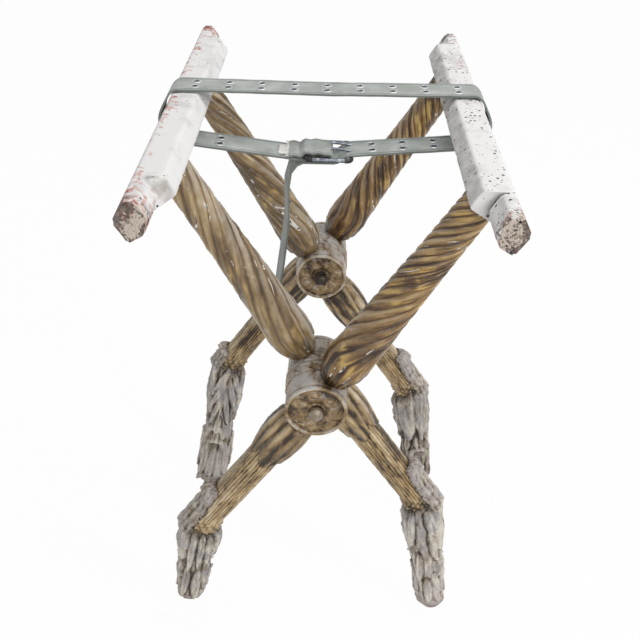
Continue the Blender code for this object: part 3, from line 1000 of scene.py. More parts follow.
@dataclass
class SpiralArm(FramePiece):
    """Club-shaped arm whose lobes run straight over its bulb and wind up to the rail."""

    top_radius: float = 0.0172
    bulb_radius: float = 0.0250
    bulb_place: float = 0.066
    seat_radii: tuple[float, ...] = (0.0, 0.007, 0.0140)
    core_radius: float = 0.010
    lobes: int = 10
    lobe_steps: int = 16
    bulb_rings: int = 22
    rings: int = 130
    taper: float = 1.5
    right_turns: float = 1.45
    left_turns: float = 0.65
    wind: float = 1.4
    depth: float = 0.0019
    stray: float = 0.14
    lobe_close: float = 0.014
    lobe_tip: float = 0.010
    seat_ease: float = 0.006
    wear: float = 0.0006
    grain_radius: float = 0.022
    grain_stretch: float = 0.20

    @property
    def top(self) -> float:
        """Height of the upper end over the hub axis."""
        return STANCE.arm_reach - STANCE.gap

    def profile(self) -> Profile:
        """Radius and height from the hub seat to the rail.

        Returns:
            The profile's points.
        """
        seat, start = STANCE.hub_radius, self.seat_radii[-1]
        line = [(radius, seat) for radius in self.seat_radii]
        for share in spread(0.05, 0.97, self.bulb_rings):
            angle = share * QUARTER
            swell = (self.bulb_radius - start) * math.sin(angle)
            line.append((start + swell, seat + (self.bulb_place - seat) * (1 - math.cos(angle))))
        for share in spread(0.0, 1.0, self.rings):
            swell = (self.bulb_radius - self.top_radius) * (1 - share) ** self.taper
            line.append((self.top_radius + swell, self.bulb_place + (self.top - self.bulb_place) * share))
        return line + [(self.core_radius, self.top), (0.0, self.top)]

    def lobe(self, turn: float, z: float, seed: float) -> float:
        """Height of the lobes, 0 to 1.

        Args:
            turn: Angle round the unwound arm.
            z: Height over the hub axis.
            seed: What tells this arm from the others.

        Returns:
            The height.
        """
        stray = self.stray * rough(on_ring(1.0, turn, 14 * z), 1.2, seed)
        part = abs(1 - 2 * ((turn + stray) * self.lobes / math.tau % 1.0))
        close, tip = self.bulb_place + self.lobe_close, STANCE.hub_radius + self.lobe_tip
        taper = dome((close - z) / (close - tip)) if z < close else 1.0
        part = part / max(taper, 0.02)
        return 0.5 + 0.5 * math.cos(math.pi * min(1.0, part) ** 1.5)

    def carve(self, co: Vector) -> Carved:
        """One point of the fluted surface."""
        seat = STANCE.hub_radius
        radius, turn = polar(co)
        wrap = self.grain(self.grain_radius, turn, self.grain_stretch * co.z)
        if abs(co.z - seat) < TOUCHING:
            return self.seated(co, wrap)
        if radius < 0.8 * self.top_radius:
            return Carved(co, HIDDEN_RELIEF, 0.0, wrap)
        seed = self.seeded(3.0, 1.0)
        height = self.lobe(turn, co.z, seed)
        share = max(0.0, (co.z - self.bulb_place) / (self.top - self.bulb_place))
        rubbed = 0.75 + 0.5 * rough(Vector((wrap.x, wrap.y, 2 * wrap.z)), 55.0, 1.0)
        turns = self.right_turns if self.side is Side.RIGHT else self.left_turns
        wind = -self.end.value * math.tau * turns * share**self.wind
        worn = self.wear * rough(co, 110.0, seed)
        sunk = self.depth * rubbed * (1 - height) * smooth(seat, seat + self.seat_ease, co.z)
        # The lobes' height goes to the finish as relief, which it paints as shade in the flutes.
        return Carved(on_ring(radius - sunk + worn, turn + wind, co.z), height, share, wrap)

    def build(self) -> None:
        """Models the arm and sets it on its frame."""
        blank = Blank.turned(self.profile(), self.lobes * self.lobe_steps).carve(self.carve)
        blank.moved(STANCE.upright(self.side, self.layer))
        gilding = GILDING if self.side is Side.RIGHT else DUSTY_SHEEN_GILDING
        self.mount(blank.finished(f"gilt_arm_{self.word}", gilding), "aged_gilding", "arm")


@dataclass
class HubKnuckle(FramePiece):
    """Round hub block with a knotted band at its mating edge and a rosette on its free face."""

    petals: int = 7
    petal_steps: int = 20
    bore: float = 0.0053
    collar: float = 0.0098
    bead_place: float = 0.0090
    bead_half: float = 0.0012
    petal_end: float = 0.0290
    petal_place: float = 0.56
    petal_lift: float = 0.0028
    floor: float = 0.0032
    inner_lip: Pairs = ((0.0004, 0.0018), (0.0010, 0.0003), (0.0019, 0.0))
    outer_lip: Pairs = ((0.0010, 0.0002), (0.0002, 0.0011))
    bead: float = 0.0014
    rings: int = 44
    line_depth: float = 0.0009
    line_half: float = 0.0008
    knot_lift: float = 0.0012

    @property
    def free(self) -> float:
        """Height of the free face over the knuckle's middle."""
        return STANCE.hub_width / 2

    def profile(self) -> Profile:
        """Radius and height, with the free face on top.

        Returns:
            The profile's points.
        """
        radius, free = STANCE.hub_radius, self.free
        line = [(r, free - self.floor) for r in spread(self.bore, self.petal_end, self.rings)]
        line += [(self.petal_end + out, free - down) for out, down in self.inner_lip]
        line += [(radius - inward, free - down) for inward, down in self.outer_lip]
        line += [(radius, z) for z in spread(free - 0.0022, 0.006 - free, self.rings)]
        for share in spread(0.0, 1.0, 9):
            line.append((radius + self.bead * math.sin(math.pi * share), 0.0052 - free - 0.0046 * share))
        return line + [(radius - 0.0012, -free), (self.bore, -free)]

    def petal(self, radius: float, turn: float) -> float:
        """Height of the rosette, 0 to 1.

        Args:
            radius: Distance from the axis.
            turn: Angle round it.

        Returns:
            The height.
        """
        spot = turn * self.petals / math.tau
        number = math.floor(spot)
        across = (2 * (spot % 1.0) - 1) * math.pi * radius / self.petals
        middle = self.collar + self.petal_place * (self.petal_end - self.collar)
        middle += 0.0008 * math.sin(4.3 * number)
        size = math.pi * middle / self.petals * (1.06 + 0.08 * math.sin(5.1 * number))
        away = math.hypot(across, radius - middle) / size
        swirl = (1.9 * away + math.atan2(radius - middle, across) / math.tau) % 1.0
        groove = bell(swirl - 0.5, 0.13) * smooth(0.12, 0.30, away)
        curl = dome(min(1.0, away)) ** 0.6 * (1 - 0.50 * groove)
        worn = 0.18 * rough(on_ring(0.02, turn, 0.5 * radius), 130.0, 8.0)
        inner = 0.35 * dome((radius - self.bead_place) / self.bead_half)
        return max(0.0, 0.12 + 0.72 * curl + worn + inner)

    def barrel(self, co: Vector, wrap: Vector) -> Carved:
        """One point of the barrel, with two lines and the knotted band.

        Args:
            co: Point of the turned blank.
            wrap: Where its finish reads.

        Returns:
            The carved point.
        """
        radius, turn = polar(co)
        lines = bell(co.z - self.free + 0.0060, self.line_half) + bell(co.z + 0.007, self.line_half)
        worn = rough(Vector((co.x, co.y, 2.5 * co.z)), 85.0, 2.0)
        band = smooth(-0.007, -0.009, co.z) * smooth(-0.0195, -0.0175, co.z)
        knot = band * abs(math.sin(8 * turn + 260 * co.z)) ** 0.6
        rise = 0.0004 * worn - self.line_depth * lines + self.knot_lift * knot
        # Painted shade in the turned lines and between the knots of the band, painted highlight on the
        # knots.
        tone = (0.62 + 0.25 * worn - 0.6 * lines) * (1 - band) + band * (0.12 + 0.5 * knot)
        reach = 1 + rise / radius
        return Carved(Vector((co.x * reach, co.y * reach, co.z)), tone, 1.0, wrap)

    def carve(self, co: Vector) -> Carved:
        """One point of the rosette or the barrel."""
        radius, turn = polar(co)
        wrap = Vector((co.x, co.y, co.z + self.seeded(0.2, 0.1)))
        if abs(co.z - (self.free - self.floor)) < TOUCHING:
            height = self.petal(radius, turn)
            lift = self.petal_lift * height + 0.0003 * rough(co, 210.0, 5.0)
            # The rosette's tone follows its height: painted shade low between the petals, lighter on them.
            return Carved(Vector((co.x, co.y, co.z + lift)), 0.10 + 0.62 * height, 0.0, wrap)
        if radius > STANCE.hub_radius - 0.0001 and co.z < self.free - 0.001:
            return self.barrel(co, wrap)
        return Carved(co, 1.15, 0.0, wrap)

    def build(self) -> None:
        """Models the knuckle and sets it on its frame."""
        facing = self.end.value if self.side is Side.RIGHT else -self.end.value
        blank = Blank.turned(self.profile(), self.petals * self.petal_steps, closed=True)
        blank.carve(self.carve).moved(Matrix.Rotation(-facing * QUARTER, 4, "X"))
        blank.moved(STANCE.upright(self.side, self.layer))
        piece = blank.finished(f"rosette_hub_{self.word}", HUB_GILDING, 60.0)
        self.mount(piece, "rubbed_gilding", "knuckle")


@dataclass
class ReededStem(FramePiece):
    """Lower leg: a husk of leaves under the hub, fine reeds, and a lumpy collar at the knee."""

    radius: float = 0.0182
    seat_radii: tuple[float, ...] = (0.0, 0.008, 0.0135, 0.0180)
    core_radius: float = 0.010
    husk_radius: float = 0.0228
    husk_end: float = 0.086
    husk_points: float = 0.018
    husk_edge: float = 0.0024
    leaves: int = 4
    reeds: int = 30
    reed_steps: int = 7
    reed_depth: float = 0.0013
    nick_depth: float = 0.0006
    rings: int = 140
    collar: float = 0.020
    grain_radius: float = 0.018
    grain_stretch: float = 0.24

    def profile(self) -> Profile:
        """Radius and height from the hub seat down to the knee.

        Returns:
            The profile's points.
        """
        seat, low = STANCE.hub_radius, STANCE.stem_reach - STANCE.gap
        line = [(radius, -seat) for radius in self.seat_radii]
        line += [(self.radius, -w) for w in spread(seat + 0.002, low, self.rings)]
        return line + [(self.core_radius, -low), (0.0, -low)]

    def carve(self, co: Vector) -> Carved:
        """One point of the husk, the reeds or the collar."""
        seat, low = STANCE.hub_radius, STANCE.stem_reach
        (radius, turn), w = polar(co), -co.z
        wrap = self.grain(self.grain_radius, turn, self.grain_stretch * w)
        if abs(w - seat) < TOUCHING:
            return self.seated(co, wrap)
        if radius < 0.9 * self.radius:
            return Carved(co, HIDDEN_RELIEF, 0.0, wrap)
        seed = self.seeded(4.0, 1.0)
        reed = dome(0.97 * abs(1 - 2 * (turn * self.reeds / math.tau % 1.0)))
        nick = max(0.0, rough(Vector((co.x, co.y, 0.4 * co.z)), 330.0, seed))
        shaft = self.radius - self.reed_depth * (1 - reed) - self.nick_depth * nick
        part = abs(math.cos(self.leaves * turn / 2))
        tip = self.husk_end + self.husk_points * part**0.7
        inside = smooth(0.0, self.husk_edge, tip - w)
        belly = math.sin(math.pi * min(1.0, (w - seat + 0.012) / (self.husk_end - seat + 0.024)))
        fold = math.sin(6 * self.leaves * turn / 2 + 60 * (w - seat) * (1 - part))
        husk = self.radius + 0.0006 + (self.husk_radius - self.radius) * belly
        husk += 0.0011 * fold + 0.0007 * part
        lump = smooth(low - self.collar, low - 0.65 * self.collar, w)
        knob = abs(math.sin(6 * turn + 500 * w)) * abs(math.sin(5 * turn - 300 * w))
        reach = shaft + (husk - shaft) * inside + lump * (0.0012 + 0.0022 * knob)
        reach += 0.0004 * rough(co, 120.0, seed)
        # Painted light and shade from the carving: dark in the reed grooves, the nicks, under the husk's
        # edge and between the collar's knobs, light on the crests.
        edge = 1 - 0.85 * bell(tip - w, 0.0018)
        reeded, leafy = 0.16 + 0.74 * reed - 0.6 * nick, 0.24 + 0.15 * belly + 0.34 * fold
        tone = (reeded * (1 - inside) + leafy * inside) * edge * (1 - lump) + lump * (0.10 + 0.8 * knob)
        return Carved(on_ring(reach, turn, co.z), tone, w / low, wrap)

    def build(self) -> None:
        """Models the stem and sets it on its frame."""
        blank = Blank.turned(self.profile(), self.reeds * self.reed_steps).carve(self.carve)
        blank.moved(STANCE.upright(self.side, self.layer, True))
        self.mount(blank.finished(f"reeded_stem_{self.word}", STEM_GILDING), "dull_gilding", "stem")


class Tongue(NamedTuple):
    """One lobe of a carved leaf, on the unrolled side of a foot: root, tip and half width in metres."""

    root: Vector
    tip: Vector
    half: float
    lift: float

    def height(self, spot: Vector, grown: float = 1.0) -> float:
        """Height of the lobe over a spot.

        Args:
            spot: Spot on the unrolled side.
            grown: How much larger than carved the lobe is taken.

        Returns:
            The height, 0 outside the lobe.
        """
        line = self.tip - self.root
        length = line.length
        away = spot - self.root
        along = 0.45 + (away.dot(line) / length**2 - 0.45) / (0.6 + 0.4 * grown)
        if not -0.13 < along < 1.03:
            return 0.0
        across = abs(away.x * line.y - away.y * line.x) / length / (self.half * grown)
        width = dome((along - 0.45) / 0.58)
        if across >= width:
            return 0.0
        side = 1 - (across / width) ** 3
        crease = bell(across, 0.22) * smooth(1.0, 0.6, along)
        return (1 - self.lift / 2 + self.lift * along) * side * (1 - 0.35 * crease)


class Leaf(NamedTuple):
    """A leaf of several lobes: its middle angle, ways down the foot of its root and tip, and its size."""

    middle: float
    start: float
    end: float
    half: float
    rise: float
    pairs: int
    fan: bool = False

    def tongues(self, drop: float) -> list[Tongue]:
        """The leaf's lobes.

        Args:
            drop: Height of the foot.

        Returns:
            Lobes in pairs down a midrib, or fanned out from the root.
        """
        length = (self.end - self.start) * drop
        lobes = []
        if self.fan:
            for a in spread(-1.0, 1.0, self.pairs):
                root = Vector((0.30 * a * self.half, 0))
                tip = Vector((a * self.half, length * (1 - 0.20 * a * a)))
                lobes.append(Tongue(root, tip, 1.15 * self.half / self.pairs, -0.7))
            return lobes
        step, half = length / (self.pairs + 1.4), 0.36 * self.half
        lobes.append(Tongue(Vector((0, (self.pairs - 0.8) * step)), Vector((0, length)), half, 0.3))
        for i in range(self.pairs):
            reach = self.half * (1 - 0.10 * i)
            for side in (-1, 1):
                root = Vector((0.1 * side * reach, (i - 0.4) * step))
                lobes.append(Tongue(root, Vector((side * reach, (i + 1.6) * step)), half, 0.8))
        return lobes


# Lobes on the front of each foot, as the photograph shows them: millimetres aside and way down of the
# root, the same of the tip, and the half width in millimetres.
FRONT_LOBES: dict[tuple[Side, End], tuple[tuple[float, float, float, float, float], ...]] = {
    (Side.LEFT, End.NEAR): (
        (-7.0, 0.06, -14.0, 0.26, 6.5),
        (-9.0, 0.24, -15.0, 0.49, 6.5),
        (12.0, 0.02, 15.0, 0.34, 5.0),
        (9.0, 0.46, 11.0, 0.69, 6.0),
        (-10.0, 0.64, -14.0, 0.79, 6.0),
        (-9.0, 0.75, -12.0, 0.90, 6.0),
        (1.0, 0.70, 2.0, 0.90, 7.0),
    ),
    (Side.RIGHT, End.NEAR): (
        (-13.0, 0.03, -17.0, 0.40, 4.5),
        (-5.0, 0.02, -8.0, 0.52, 4.6),
        (4.0, 0.02, 3.0, 0.47, 4.4),
        (12.0, 0.02, 13.0, 0.42, 4.6),
        (-10.0, 0.52, -11.0, 0.88, 6.5),
        (5.0, 0.56, 5.0, 0.90, 7.5),
        (15.0, 0.46, 14.0, 0.70, 5.0),
    ),
    (Side.RIGHT, End.FAR): (
        (6.0, -0.05, -5.0, 0.46, 1.8),
        (4.0, -0.02, -14.0, 0.20, 4.6),
        (2.0, 0.09, -17.0, 0.33, 5.0),
        (-1.0, 0.22, -18.0, 0.48, 5.0),
        (7.0, -0.02, 17.0, 0.20, 4.6),
        (4.0, 0.10, 15.0, 0.33, 4.6),
        (1.0, 0.23, 10.0, 0.46, 4.6),
        (-4.0, 0.43, -4.0, 0.54, 6.5),
        (-11.0, 0.66, -19.0, 0.95, 6.0),
        (-3.0, 0.66, -6.0, 1.01, 6.0),
        (5.0, 0.66, 7.0, 1.01, 6.0),
        (13.0, 0.66, 19.0, 0.95, 6.0),
    ),
    (Side.LEFT, End.FAR): (
        (6.0, -0.20, 6.0, 0.43, 15.0),
        (-14.0, -0.10, -13.0, 0.44, 8.0),
        (9.0, -0.02, -13.0, 0.44, 2.6),
        (9.0, 0.42, 12.0, 0.56, 5.5),
        (-5.0, 0.44, -3.0, 0.53, 5.0),
        (-8.0, 0.72, -9.0, 0.93, 7.5),
        (7.0, 0.70, 8.0, 0.93, 7.5),
    ),
}

# Middle angle, way down and height in metres of the rolls on the fronts of the far feet.
FRONT_ARCHES: dict[tuple[Side, End], Triples] = {
    (Side.RIGHT, End.FAR): ((FRONT - 0.30, 0.565, 0.0050), (FRONT - 0.18, 0.660, 0.0056)),
    (Side.LEFT, End.FAR): ((FRONT - 0.30, 0.600, 0.0062),),
}


@dataclass
class LeafFoot(FramePiece):
    """Foot carved with hanging leaves, a pair of rolled scrolls and a rounded toe."""

    steps: int = 168
    rings: int = 190
    girth: float = 0.0205
    widths: Triples = (
        (0.0, 0.0355, 1.16),
        (0.10, 0.0430, 0.98),
        (0.25, 0.0440, 0.88),
        (0.46, 0.0365, 0.88),
        (0.56, 0.0380, 0.88),
        (0.70, 0.0365, 0.88),
        (0.88, 0.0385, 0.90),
        (0.95, 0.0370, 0.92),
        (1.0, 0.0265, 0.95),
    )
    leaves: tuple[Leaf, ...] = (
        Leaf(math.pi, 0.00, 0.50, 0.0165, 0.0054, 2),
        Leaf(-FRONT, -0.06, 0.50, 0.0150, 0.0034, 2),
        Leaf(0.0, 0.02, 0.48, 0.0140, 0.0030, 2),
        Leaf(math.pi, 0.64, 0.88, 0.0140, 0.0036, 3, True),
        Leaf(-FRONT, 0.64, 0.89, 0.0140, 0.0026, 3, True),
        Leaf(0.0, 0.62, 0.87, 0.0140, 0.0026, 3, True),
    )
    front_field: Leaf = Leaf(FRONT, -0.10, 1.0, 0.0220, 0.0044, 0, True)
    front_lift: float = 0.7
    arches: Triples = (
        (-FRONT, 0.545, 0.0040),
        (-FRONT, 0.635, 0.0044),
        (math.pi, 0.530, 0.0056),
        (math.pi, 0.625, 0.0060),
    )
    arch_radius: float = 0.0120
    arch_half: float = 0.0042
    flare: float = 0.0045
    tones: dict[tuple[Side, End], float] = field(
        default_factory=lambda: {(Side.LEFT, End.NEAR): 0.10, (Side.LEFT, End.FAR): -0.10}
    )
    shadow: float = 1.45
    rib_half: float = 0.0013
    toe_place: float = 0.905
    toe_groove: float = 0.0012
    toe_tone: float = 0.55
    whole_rise: float = 0.062
    broken_rise: float = 0.020
    climb_start: float = -0.018
    climb_radius: float = 0.0196
    climb_fan: float = 1.12
    climb_grid: tuple[int, int] = (48, 60)
    lobes: list[tuple[Leaf, list[Tongue]]] = field(init=False)

    @property
    def broken(self) -> bool:
        """Whether its climbing leaf is broken: the far one on the left, whose front is kept best."""
        return (self.side, self.end) == (Side.RIGHT, End.FAR)

    @property
    def leaf_rise(self) -> float:
        """How far the climbing leaf reaches up the stem."""
        return self.broken_rise if self.broken else self.whole_rise

    def __post_init__(self) -> None:
        """Lays out the lobes of every leaf."""
        drop, top = STANCE.foot_height, self.front_field.start
        self.arches += FRONT_ARCHES.get((self.side, self.end), ())
        self.lobes = [(leaf, leaf.tongues(drop)) for leaf in self.leaves]
        front = []
        for root_x, root, tip_x, tip, half in FRONT_LOBES[self.side, self.end]:
            start = Vector((MILLIMETRE * root_x, (root - top) * drop))
            stop = Vector((MILLIMETRE * tip_x, (tip - top) * drop))
            front.append(Tongue(start, stop, MILLIMETRE * half, self.front_lift))
        self.lobes.append((self.front_field, front))

    def section(self, share: float) -> tuple[float, float]:
        """Size of the foot's section.

        Args:
            share: Way down the foot.

        Returns:
            The half width, and the depth as a share of it.
        """
        for (start, wide, deep), (end, next_wide, next_deep) in zip(self.widths, self.widths[1:]):
            if share <= end:
                ease = smooth(start, end, share)
                return 0.5 * (wide + (next_wide - wide) * ease), deep + (next_deep - deep) * ease
        return 0.5 * self.widths[-1][1], self.widths[-1][2]

    def leafage(self, turn: float, share: float) -> tuple[float, float]:
        """Height and tone of the leaves at a point, the tone being painted light and shade: lighter on the
        lobes, dark round their edges.

        Args:
            turn: Angle round the foot.
            share: Way down the foot.

        Returns:
            The height in metres and the tone from 0 to 1.
        """
        best, tone, shade = 0.0, 0.0, 0.0
        for leaf, lobes in self.lobes:
            off = angle_from(leaf.middle, turn) * self.girth
            if not leaf.start - 0.05 < share < leaf.end + 0.03 or abs(off) > 1.4 * leaf.half:
                continue
            spot = Vector((off, (share - leaf.start) * STANCE.foot_height))
            form = max(lobe.height(spot) for lobe in lobes)
            if not leaf.fan:
                form = max(form, 1.1 * bell(off, self.rib_half) * smooth(leaf.end, leaf.end - 0.1, share))
            height = leaf.rise * form
            # Painted shadow round each lobe, out to the lobe grown by the shadow factor.
            shade = max(shade, max(lobe.height(spot, self.shadow) for lobe in lobes))
            if height > best:
                best, tone = height, 0.30 + 0.48 * form
        return best, tone if best else 0.52 - 0.42 * smooth(0.0, 0.5, shade)

    def scroll(self, turn: float, share: float) -> tuple[float, float]:
        """Height and tone of the arched rolls at mid height, the tone painted as highlight on the roll and
        shade inside the arch.

        Args:
            turn: Angle round the foot.
            share: Way down the foot.

        Returns:
            The height in metres and the tone from 0 to 1.
        """
        best, tone = 0.0, 0.0
        for middle, centre, rise in self.arches:
            off = angle_from(middle, turn) * self.girth
            down = (share - centre) * STANCE.foot_height
            away = math.hypot(off, 1.1 * down) if down < 0 else abs(off) - 0.25 * down
            legs = smooth(0.024, 0.010, down) if off < 0 else smooth(0.011, 0.002, down)
            roll = rise * dome((away - self.arch_radius) / self.arch_half) * legs
            inside = 0.45 * rise * smooth(self.arch_radius, 0.5 * self.arch_radius, away) * legs
            if max(roll, inside) > best:
                best, tone = max(roll, inside), 0.30 + 0.22 * smooth(-0.008, 0.008, down)
                if roll > inside:
                    tone = 0.20 + 0.58 * roll / rise
        return best, tone

    def carve(self, co: Vector) -> Carved:
        """One point of the foot about its knee, from a unit cylinder whose height is the way down."""
        share, (radius, turn) = co.z, polar(co)
        half, depth = self.section(share)
        if self.broken:
            half += self.flare * smooth(0.50, 0.75, share) * smooth(1.0, 0.94, share)
        drop = STANCE.foot_height
        lean = -drop * share * math.tan(STANCE.foot_lean)
        slant = math.tan(STANCE.stem_lean) * (1 - share) ** 4
        height, tone = self.leafage(turn, share)
        roll, roll_tone = self.scroll(turn, share)
        if roll > height:
            height, tone = roll, roll_tone
        fade = smooth(0.0, 0.05, share) * smooth(1.0, 0.955, share)
        toe = bell(share - self.toe_place, 0.010)
        seed = self.seeded(7.0, 3.0)
        wrap = on_ring(half, turn, 0.14 * drop * share + 0.1 * seed)
        flat = Vector((wrap.x, wrap.y, drop * share))
        fibre = rough(wrap, 260.0, seed)
        worn = 0.0014 * rough(flat, 75.0, seed) + 0.0011 * fibre + 0.0007 * rough(flat, 240.0, seed)
        reach = radius * (half + (height + worn) * fade - self.toe_groove * toe)
        x = reach * math.cos(turn)
        y = STANCE.toe_shift(self.side, self.end) * share + depth * reach * math.sin(turn)
        place = Vector((lean + x, y, -drop * share - x * slant))
        tone += self.tones.get((self.side, self.end), 0.0)
        # Painted shade in the toe's groove and just under the knee.
        tone = (tone + 0.30 * fibre) * (1 - 0.6 * toe) * (0.35 + 0.65 * smooth(0.0, 0.06, share))
        if share > 0.91:
            tone = self.toe_tone
        return Carved(place, min(1.0, tone) if radius > 0.99 else HIDDEN_RELIEF, share, wrap)

    def tongue(self, co: Vector) -> Carved:
        """One point of the leaf that climbs the stem's outer side and curls over.

        Args:
            co: Point of a unit sheet: across in X, up in Y, front or back in Z.

        Returns:
            The carved point.
        """
        a, s = 2 * co.x - 1, co.y
        wave = 0.92 + 0.08 * abs(math.sin(4.5 * math.pi * s)) ** 0.7
        fan = self.climb_fan * wave * (1 - 0.28 * s**3)
        rim = (1 - abs(a) ** 5) * (1 - s**11) * smooth(0.0, 0.03, s)
        cross = abs(math.sin(4.5 * math.pi * s + 2.0 * abs(a)))
        vein = 0.35 * cross + 0.65 * math.cos(3.5 * math.pi * a) ** 2
        rib = bell(a, 0.14)
        roll = dome((s - 0.88) / 0.13)
        thick = 0.0046 + 0.0022 * vein * (1 - abs(a)) + 0.0012 * rib + 0.0060 * roll * (1 - 0.5 * a * a)
        out = self.climb_radius + (thick * rim if co.z > 0.5 else 0.0)
        grain = rough(Vector((0.022 * a, 0.05 * s, self.seeded(0.3, 0.1))), 170.0, 6.0)
        out += 0.0011 * grain * rim
        up = self.climb_start + (self.leaf_rise - self.climb_start) * s
        local = Vector((-out * math.cos(a * fan), out * math.sin(a * fan), up))
        place = Matrix.Rotation(STANCE.stem_lean, 3, "Y") @ local
        # Painted light and shade: lighter on the veins, the rib and the roll, darker where the leaf thins
        # to its edges.
        tone = (0.30 + 0.40 * vein + 0.10 * rib + 0.15 * roll + 0.25 * grain) * (0.35 + 0.65 * rim)
        return Carved(place, min(1.0, tone), 0.62)

    def build(self) -> None:
        """Models the foot with its climbing leaf and sets both on their frame."""
        place = STANCE.knee(self.side, self.layer)
        leaf = Blank.cloth(*self.climb_grid)
        copied = bmesh.ops.duplicate(leaf.bm, geom=leaf.bm.faces[:])["geom"]
        back = [item for item in copied if isinstance(item, bmesh.types.BMVert)]
        bmesh.ops.translate(leaf.bm, verts=back, vec=(0, 0, 1))
        leaf.carve(self.tongue)
        bmesh.ops.remove_doubles(leaf.bm, verts=leaf.bm.verts[:], dist=1e-5)
        climbing = leaf.moved(place).finished(f"climbing_leaf_{self.word}", CARVING, 70.0)
        self.mount(climbing, "grey_ground")
        blank = Blank.sleeve(spread(0.0, 1.0, self.rings), self.steps).carve(self.carve)
        piece = blank.moved(place).finished(f"carved_foot_{self.word}", CARVING, 70.0)
        self.mount(piece, "grey_ground", "foot")


@dataclass
class TopRail:
    """House-section rail in worn gesso, off centre on its arms, with shouldered ends."""

    side: Side
    length: float = 0.500
    inner: float = 0.0255
    outer: float = 0.0140
    ridge_x: float = -0.0030
    ridge: float = 0.0332
    stub_inner: float = 0.0125
    stub_length: float = 0.042
    chamfer: float = 0.0095
    arris: float = 0.0008
    rounding: float = 0.0016
    right_slant: float = 0.0025
    left_slant: float = 0.0090
    steps: int = 108
    wear: float = 0.0002
    chip_depth: float = 0.0016
    end_loss: float = 0.0014
    crack_depth: float = 0.0016
    pit_depth: float = 0.0012

    @property
    def slant(self) -> float:
        """Length of the shoulder's slope: nearly square on the right rail."""
        return self.right_slant if self.side is Side.RIGHT else self.left_slant

    @property
    def heart(self) -> Vector:
        """Middle of the section."""
        return Vector((self.ridge_x, 0.4 * self.ridge))

    def slope(self, x: float) -> float:
        """Height of the roof on one side of the ridge."""
        return self.ridge - abs(x - self.ridge_x) * math.tan(STANCE.lean)

    def outline(self, stub: bool) -> list[Vector]:
        """The section's corners, from the outer lower one round by the underside.

        Args:
            stub: Whether the inner side is cut back and chamfered.

        Returns:
            The corners in order, in the upright frame.
        """
        inner = self.stub_inner if stub else self.inner
        cut = self.chamfer if stub else self.arris
        corners = [(self.outer, 0.0), (cut - inner, 0.0), (-inner, cut), (-inner, self.slope(-inner))]
        corners += [(self.ridge_x, self.ridge), (self.outer, self.slope(self.outer))]
        return [Vector(corner) for corner in corners]

    def around(self, corners: Sequence[Vector], share: float) -> tuple[Vector, float]:
        """A point of the section.

        Args:
            corners: The section's corners.
            share: Way round, the same for every section.

        Returns:
            The point and its nearness to a corner, 0 to 1.
        """
        count = len(corners)
        spot = share * count % count
        i = int(spot)
        start, end = corners[i], corners[(i + 1) % count]
        part = spot - i
        point = start.lerp(end, part)
        reach = min(part, 1 - part) * (end - start).length
        near = max(0.0, 1 - reach / (2.2 * self.rounding))
        return point.lerp(self.heart, 0.035 * near**2), near

    def stripped(self, x: float, end: float) -> float:
        """How far a shoulder of the left rail has lost its gesso; on the right rail, the painted shade on
        its inner face.

        Args:
            x: Place across the rail.
            end: Distance from the rail's end.

        Returns:
            The share, 0 to 1.
        """
        # Painted shade: the right rail's inner face is darkened along its whole length.
        if self.side is Side.RIGHT:
            return 0.5 if x < -0.97 * self.inner else 0.0
        if x > -1.02 * self.stub_inner:
            return 0.0
        low, high = self.stub_length, self.stub_length + self.slant
        return smooth(low - 0.001, low + 0.001, end) * smooth(high + 0.001, high - 0.001, end)

    def carve(self, co: Vector) -> Carved:
        """One point of the worn rail.

        Args:
            co: Point of the unit cylinder, its height being the way along.

        Returns:
            The carved point.
        """
        radius, turn = polar(co)
        turn, y = turn / math.tau % 1.0, co.z
        end = self.length / 2 - abs(y)
        full, near = self.around(self.outline(False), turn)
        cut, _ = self.around(self.outline(True), turn)
        point = full.lerp(cut, min(1.0, max(0.0, (self.stub_length + self.slant - end) / self.slant)))
        seed = 11.0 * self.side.value
        flat = Vector((point.x, y, point.y))
        chip = max(0.0, rough(flat, 85.0, seed + 4) - 0.25) * near
        # The slit at the right rail's shoulder is cut in, and painted dark as its shade.
        slit_shade = 0.0
        if self.side is Side.RIGHT and point.x < -0.6 * self.stub_inner:
            slit_shade = bell(end - self.stub_length + 0.0008, 0.0012)
        out = point - self.heart
        shift = self.wear * rough(flat, 28.0, seed) - self.chip_depth * chip
        shift -= self.end_loss * near * smooth(0.006, 0.0, end) + self.crack_depth * slit_shade
        point = self.heart + out * (radius * (1 + shift / max(out.length, 1e-4)))
        pitted = self.pit_depth * rough(flat, 150.0, seed) * smooth(0.004, 0.0, end)
        worn_y = y - math.copysign(abs(pitted), y)
        place = Vector((self.side.value * point.x, worn_y, STANCE.arm_reach + point.y))
        blush = smooth(self.ridge_x - 0.013, self.ridge_x - 0.004, point.x)
        blush *= 1 - 0.8 * smooth(self.ridge_x + 0.002, self.ridge_x + 0.010, point.x)
        zone, face = 1.0, 0.35 + 0.5 * radius**2
        if radius > 0.99:
            zone, face = 0.85 * smooth(0.040, 0.0, end), smooth(0.0012, 0.0, end)
        return Carved(place, self.stripped(point.x, end), zone, Vector((slit_shade, blush, face)))

    def stations(self) -> list[float]:
        """Rings along the rail, close together at its ends and shoulders.

        Returns:
            Their places, from one end to the other.
        """
        half = self.length / 2
        stop = half - self.stub_length
        ahead = spread(0.0, stop - self.slant - 0.001, 80)
        ahead += spread(stop - self.slant, stop, 7) + spread(stop + 0.0005, stop + 0.0035, 6)
        ahead += spread(stop + 0.006, half - 0.004, 12) + spread(half - 0.003, half, 5)
        return [-y for y in reversed(ahead[1:])] + ahead

    def build(self) -> None:
        """Models the rail and sets it on its frame."""
        blank = Blank.sleeve(self.stations(), self.steps).carve(self.carve)
        gesso = RIGHT_GESSO if self.side is Side.RIGHT else LEFT_GESSO
        blank.moved(STANCE.upright(self.side))
        piece = blank.finished(f"gesso_rail_{self.side.word}", gesso, 42.0)
        dress(piece, self.side.body, "worn_gesso", f"{self.side.word}_rail")


